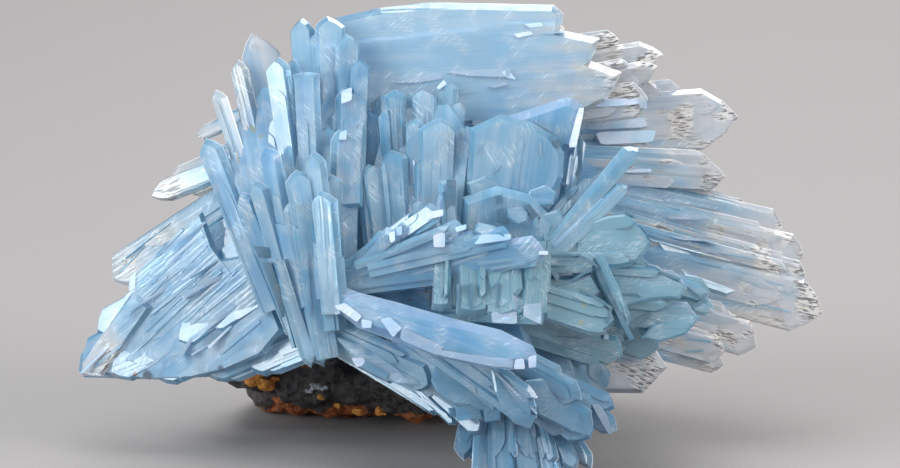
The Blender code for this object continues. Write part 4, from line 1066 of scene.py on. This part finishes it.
def barite_material(spots):
    """Pale blue barite: milky at the roots, clear and flecked towards the tips."""
    material, tree, shader = fresh("barite")
    place = node(tree, "ShaderNodeUVMap", uv_map="place").outputs[0]
    looks = node(tree, "ShaderNodeSeparateXYZ")
    tree.links.new(node(tree, "ShaderNodeUVMap", uv_map="looks").outputs[0], looks.inputs[0])
    facet = node(tree, "ShaderNodeSeparateXYZ")
    tree.links.new(node(tree, "ShaderNodeUVMap", uv_map="facet").outputs[0], facet.inputs[0])
    where = node(tree, "ShaderNodeTexCoord").outputs["Object"]
    clear, grey, part, own = looks.outputs[0], looks.outputs[1], facet.outputs[0], facet.outputs[1]
    veils = clouds(tree, stretched(tree, place, 5.0, 42.0, where, 20.0), 1.0, 1.0)
    lines = clouds(tree, stretched(tree, place, 9.0, 260.0, where, 30.0), 1.0, 0.0)
    flecks = clouds(tree, stretched(tree, place, 60.0, 420.0, where, 60.0), 1.0, 1.0)
    scratches = clouds(tree, stretched(tree, place, 45.0, 520.0, where, 60.0, 40.0), 1.0, 0.0)
    body = clouds(tree, where, 80.0, 0.0)
    haze = clouds(tree, where, 230.0, 1.0)
    fine = clouds(tree, where, 900.0, 0.0)
    tips = ramp(tree, maths(tree, "ADD", clear, both(tree, veils, 0.5)), 0.78, 1.15)
    colour = mixed(tree, ramp(tree, body, 0.34, 0.66), BLUE_DEEP, BLUE_MILK)
    colour = mixed(tree, ramp(tree, haze, 0.38, 0.70, 0.0, 0.55), colour, BLUE_PALE)
    colour = mixed(tree, ramp(tree, veils, 0.42, 0.72, 0.0, 0.5), colour, BLUE_PALE)
    colour = mixed(tree, ramp(tree, own, 0.5, 1.0, 0.0, 0.3), colour, BLUE_DEEP)
    colour = mixed(tree, ramp(tree, own, 0.5, 0.0, 0.0, 0.3), colour, BLUE_PALE)
    colour = mixed(tree, ramp(tree, grey, 0.0, 0.8, 0.0, 0.85), colour, GREY_GREEN)
    # Striations with painted highlight: lavender-white streaks along them.
    colour = mixed(tree, ramp(tree, lines, 0.56, 0.72, 0.0, 0.16), colour, PAINTED_HIGHLIGHT_WHITE)
    scratched = both(tree, ramp(tree, scratches, 0.62, 0.78), ramp(tree, haze, 0.50, 0.62))
    colour = mixed(tree, both(tree, scratched, 0.28), colour, WHITE)
    frosted = both(tree, ramp(tree, flecks, 0.50, 0.62), ramp(tree, haze, 0.44, 0.58))
    colour = mixed(tree, both(tree, frosted, 0.30), colour, WHITE)
    # Painted shade and highlight on bevels and rims: darker blue on most, lavender on the highest own
    # tones.
    facets = both(tree, ramp(tree, part, 0.5, 0.9), ramp(tree, part, 2.4, 2.1))
    colour = mixed(tree, both(tree, facets, ramp(tree, own, 0.78, 0.5, 0.0, 0.55)), colour, BLUE_PAINTED_SIDE_SHADE)
    colour = mixed(tree, both(tree, facets, ramp(tree, own, 0.78, 0.9, 0.0, 0.4)), colour, PAINTED_SHEEN_LILAC)
    height = node(tree, "ShaderNodeSeparateXYZ")
    tree.links.new(where, height.inputs[0])
    # Painted shade: the colour darkens towards deep blue low down and at the front, where less light
    # falls.
    low = ramp(tree, maths(tree, "ADD", height.outputs[2], both(tree, height.outputs[1], 0.5)),
               14.0 * MM, -9.0 * MM, 0.0, 0.60)
    pale_tip = mixed(tree, ramp(tree, haze, 0.45, 0.62), CLEAR_TIP, BEIGE)
    colour = mixed(tree, tips, colour, pale_tip)
    colour = mixed(tree, low, colour, BLUE_PAINTED_SHADE)
    etched = both(tree, ramp(tree, clear, 0.72, 0.92), ramp(tree, haze, 0.45, 0.58))
    colour = mixed(tree, both(tree, etched, ramp(tree, flecks, 0.50, 0.58), 0.9), colour, FLECK_DARK)
    colour = mixed(tree, both(tree, etched, ramp(tree, flecks, 0.46, 0.36), 0.4), colour, WHITE)
    # Painted highlight: the thin rim band round each crystal is whitened, more towards clear tips.
    rim = both(tree, ramp(tree, part, 1.5, 1.9), ramp(tree, part, 2.4, 2.1),
               ramp(tree, clear, 0.2, 0.7, 0.08, 0.65))
    colour = mixed(tree, rim, colour, WHITE)
    # Painted highlight: BRIGHT facets are whitened towards lavender-white glints.
    painted_highlight_mask = both(tree, ramp(tree, part, 2.6, 2.9), ramp(tree, part, 3.4, 3.1))
    colour = mixed(tree, both(tree, painted_highlight_mask, ramp(tree, haze, 0.35, 0.6, 0.30, 0.62)), colour,
                   PAINTED_HIGHLIGHT_WHITE)
    # Painted shade: DARK facets and edge faces are darkened towards slate.
    painted_shade_mask = both(tree, ramp(tree, part, 3.6, 3.9), ramp(tree, part, 4.4, 4.1))
    colour = mixed(tree, both(tree, painted_shade_mask, 0.7), colour, SLATE_PAINTED_SHADE)
    # Painted highlight: PALE facets are lightened towards lavender-white.
    colour = mixed(tree, ramp(tree, part, 4.6, 4.9, 0.0, 0.4), colour, PAINTED_HIGHLIGHT_WHITE)
    colour = spotted(tree, where, colour, ramp(tree, fine, 0.3, 0.7, 0.7, 1.5), spots)
    tree.links.new(colour, shader.inputs["Base Color"])
    see = ramp(tree, tips, 0.0, 1.0, BODY_SIGHT, TIP_SIGHT)
    for mask, loss in ((etched, 0.2), (rim, 0.4), (painted_highlight_mask, 0.3), (scratched, 0.2),
                       (painted_shade_mask, 0.1)):
        see = maths(tree, "SUBTRACT", see, both(tree, mask, loss))
    tree.links.new(see, shader.inputs["Transmission Weight"])
    rough = maths(tree, "ADD", ramp(tree, fine, 0.40, 0.70, 0.05, 0.17), both(tree, etched, 0.12))
    tree.links.new(rough, shader.inputs["Roughness"])
    shader.inputs["IOR"].default_value = 1.64
    shader.inputs["Subsurface Weight"].default_value = SCATTER
    shader.inputs["Subsurface Radius"].default_value = (0.45, 0.75, 1.0)
    shader.inputs["Subsurface Scale"].default_value = 2.0 * MM
    relief = node(tree, "ShaderNodeBump")
    relief.inputs["Strength"].default_value = 0.20
    relief.inputs["Distance"].default_value = 0.10 * MM
    tree.links.new(maths(tree, "ADD", lines, both(tree, fine, 0.35)), relief.inputs["Height"])
    tree.links.new(relief.outputs[0], shader.inputs["Normal"])
    absorb = node(tree, "ShaderNodeVolumeAbsorption")
    absorb.inputs["Color"].default_value = (*ABSORB_COLOUR, 1.0)
    absorb.inputs["Density"].default_value = ABSORB_DENSITY
    tree.links.new(absorb.outputs[0], tree.nodes["Material Output"].inputs["Volume"])
    return material


def rough_material(name, first, second, rusty=None):
    """Rough stone of two tones, with patches of rust where they are given."""
    material, tree, shader = fresh(name)
    where = node(tree, "ShaderNodeTexCoord").outputs["Object"]
    patches = clouds(tree, where, 110.0, 6.0, 0.65)
    grit = clouds(tree, where, 900.0, 4.0, 0.7)
    colour = mixed(tree, ramp(tree, grit, 0.35, 0.7), first, second)
    if rusty:
        split = node(tree, "ShaderNodeSeparateXYZ")
        tree.links.new(where, split.inputs[0])
        low = ramp(tree, split.outputs[2], 5.0 * MM, 1.5 * MM, 0.0, 0.16)
        stained = ramp(tree, maths(tree, "ADD", patches, low), 0.60, 0.66)
        colour = mixed(tree, stained, colour, mixed(tree, ramp(tree, grit, 0.35, 0.7), *rusty))
    tree.links.new(colour, shader.inputs["Base Color"])
    tree.links.new(ramp(tree, grit, 0.3, 0.7, 0.45, 0.9), shader.inputs["Roughness"])
    relief = node(tree, "ShaderNodeBump")
    relief.inputs["Strength"].default_value = 0.8
    relief.inputs["Distance"].default_value = 0.3 * MM
    tree.links.new(grit, relief.inputs["Height"])
    tree.links.new(relief.outputs[0], shader.inputs["Normal"])
    return material


def floor():
    """A pale floor that curves up into a backdrop."""
    mesh = bmesh.new()
    rim = []
    for i in range(25):
        turn = math.radians(90.0 * i / 24)
        rim.append((0.9 + 0.6 * math.sin(turn), 0.6 - 0.6 * math.cos(turn)))
    profile = [(-1.6, 0.0)] + rim + [(1.5, 2.2)]
    rows = [[mesh.verts.new((x, y, z)) for y, z in profile] for x in (-2.2, 2.2)]
    for i in range(len(profile) - 1):
        mesh.faces.new((rows[0][i], rows[1][i], rows[1][i + 1], rows[0][i + 1]))
    data = bpy.data.meshes.new("floor")
    mesh.to_mesh(data)
    mesh.free()
    for polygon in data.polygons:
        polygon.use_smooth = True
    made = bpy.data.objects.new("floor", data)
    bpy.context.scene.collection.objects.link(made)
    material, _, shader = fresh("floor")
    shader.inputs["Base Color"].default_value = (*FLOOR_COLOUR, 1.0)
    shader.inputs["Roughness"].default_value = 0.75
    data.materials.append(material)


def softbox(name, place, size, power, colour):
    """A rectangular studio light that faces the specimen."""
    light = bpy.data.lights.new(name, "AREA")
    light.shape = "RECTANGLE"
    light.size, light.size_y = size
    light.energy = power
    light.color = colour
    lamp = bpy.data.objects.new(name, light)
    lamp.location = place
    aim = Vector((0.0, 0.0, 0.03)) - Vector(place)
    lamp.rotation_euler = aim.to_track_quat("-Z", "Y").to_euler()
    bpy.context.scene.collection.objects.link(lamp)


def camera():
    """The photograph's view: from the front and a little above, through a long lens."""
    lens = bpy.data.cameras.new("camera")
    view = bpy.data.objects.new("camera", lens)
    bpy.context.scene.collection.objects.link(view)
    aim = Vector((0.0, -FOOTPRINT_CENTRE, FRONT_AIM))
    back = Vector((0.0, -math.cos(FRONT_TILT), math.sin(FRONT_TILT)))
    view.location = aim + back * FRONT_DISTANCE
    view.rotation_euler = (-back).to_track_quat("-Z", "Y").to_euler()
    lens.sensor_width = 36.0
    lens.lens = lens.sensor_width * FRONT_DISTANCE / (PHOTO_WIDTH * PHOTO_SCALE)
    aim_row = PHOTO_GROUND_ROW - FRONT_AIM * math.cos(FRONT_TILT) / PHOTO_SCALE
    lens.shift_y = (aim_row - PHOTO_HEIGHT / 2) / PHOTO_WIDTH
    bpy.context.scene.camera = view


def studio():
    """Soft light from above and both sides, and a dim even room."""
    world = bpy.data.worlds.new("room")
    world.use_nodes = True
    world.node_tree.nodes["Background"].inputs[0].default_value = (0.80, 0.86, 0.95, 1.0)
    world.node_tree.nodes["Background"].inputs[1].default_value = ROOM_LIGHT
    bpy.context.scene.world = world
    for row in SOFTBOXES:
        softbox(*row)


def dress(piece, material, replaced):
    """Give a piece its material and its place in the frame."""
    piece.data.materials.clear()
    piece.data.materials.append(material)
    for polygon in piece.data.polygons:
        polygon.material_index = 0
        polygon.use_smooth = False
    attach(piece, "root")
    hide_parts(replaced)


def main():
    camera()
    studio()
    floor()
    shape = spray()
    tree = skin(shape.solids)
    set_facets(shape, tree)
    spots = []
    for place, radius, tone in SPOTS:
        spot = met(tree, *place)[0]
        if spot is not None:
            spots.append((spot, radius, tone))
    crystals = shape.joined("barite_crystals")
    outer_skin(crystals)
    dress(crystals, barite_material(spots), "barite_cluster")
    back = Vector((0.0, FOOTPRINT_CENTRE, 0.0))
    lumps = [lump(Vector(centre) * MM - back, size, seed) for centre, size, seed in ROCK_LUMPS]
    matrix = joined(lumps, "goethite_matrix")
    roughen(matrix, 0.55 * MM, ((260.0, 0.9 * MM), (700.0, 0.5 * MM)))
    stone = rough_material("goethite", (0.012, 0.010, 0.010), (0.085, 0.070, 0.062),
                           ((0.16, 0.035, 0.010), (0.42, 0.13, 0.03)))
    dress(matrix, stone, "matrix_rock")
    rock_skin = skin([matrix])
    orange = growths(LIMONITE, rock_skin, "limonite_lumps", 0.16 * MM,
                     ((900.0, 0.25 * MM), (2200.0, 0.12 * MM)))
    dress(orange, rough_material("limonite", (0.42, 0.13, 0.02), (0.78, 0.36, 0.07)),
          "matrix_rock")
    pale = growths(GRAINS, rock_skin, "pale_grains", 0.14 * MM,
                   ((1100.0, 0.3 * MM), (2600.0, 0.12 * MM)))
    dress(pale, rough_material("pale_grains", (0.22, 0.23, 0.26), (0.62, 0.64, 0.68)),
          "matrix_rock")
    scene = bpy.context.scene
    scene.cycles.max_bounces = 8
    scene.cycles.transmission_bounces = 8
    scene.cycles.diffuse_bounces = 2
    scene.cycles.glossy_bounces = 3
    scene.view_settings.view_transform = "Standard"


main()
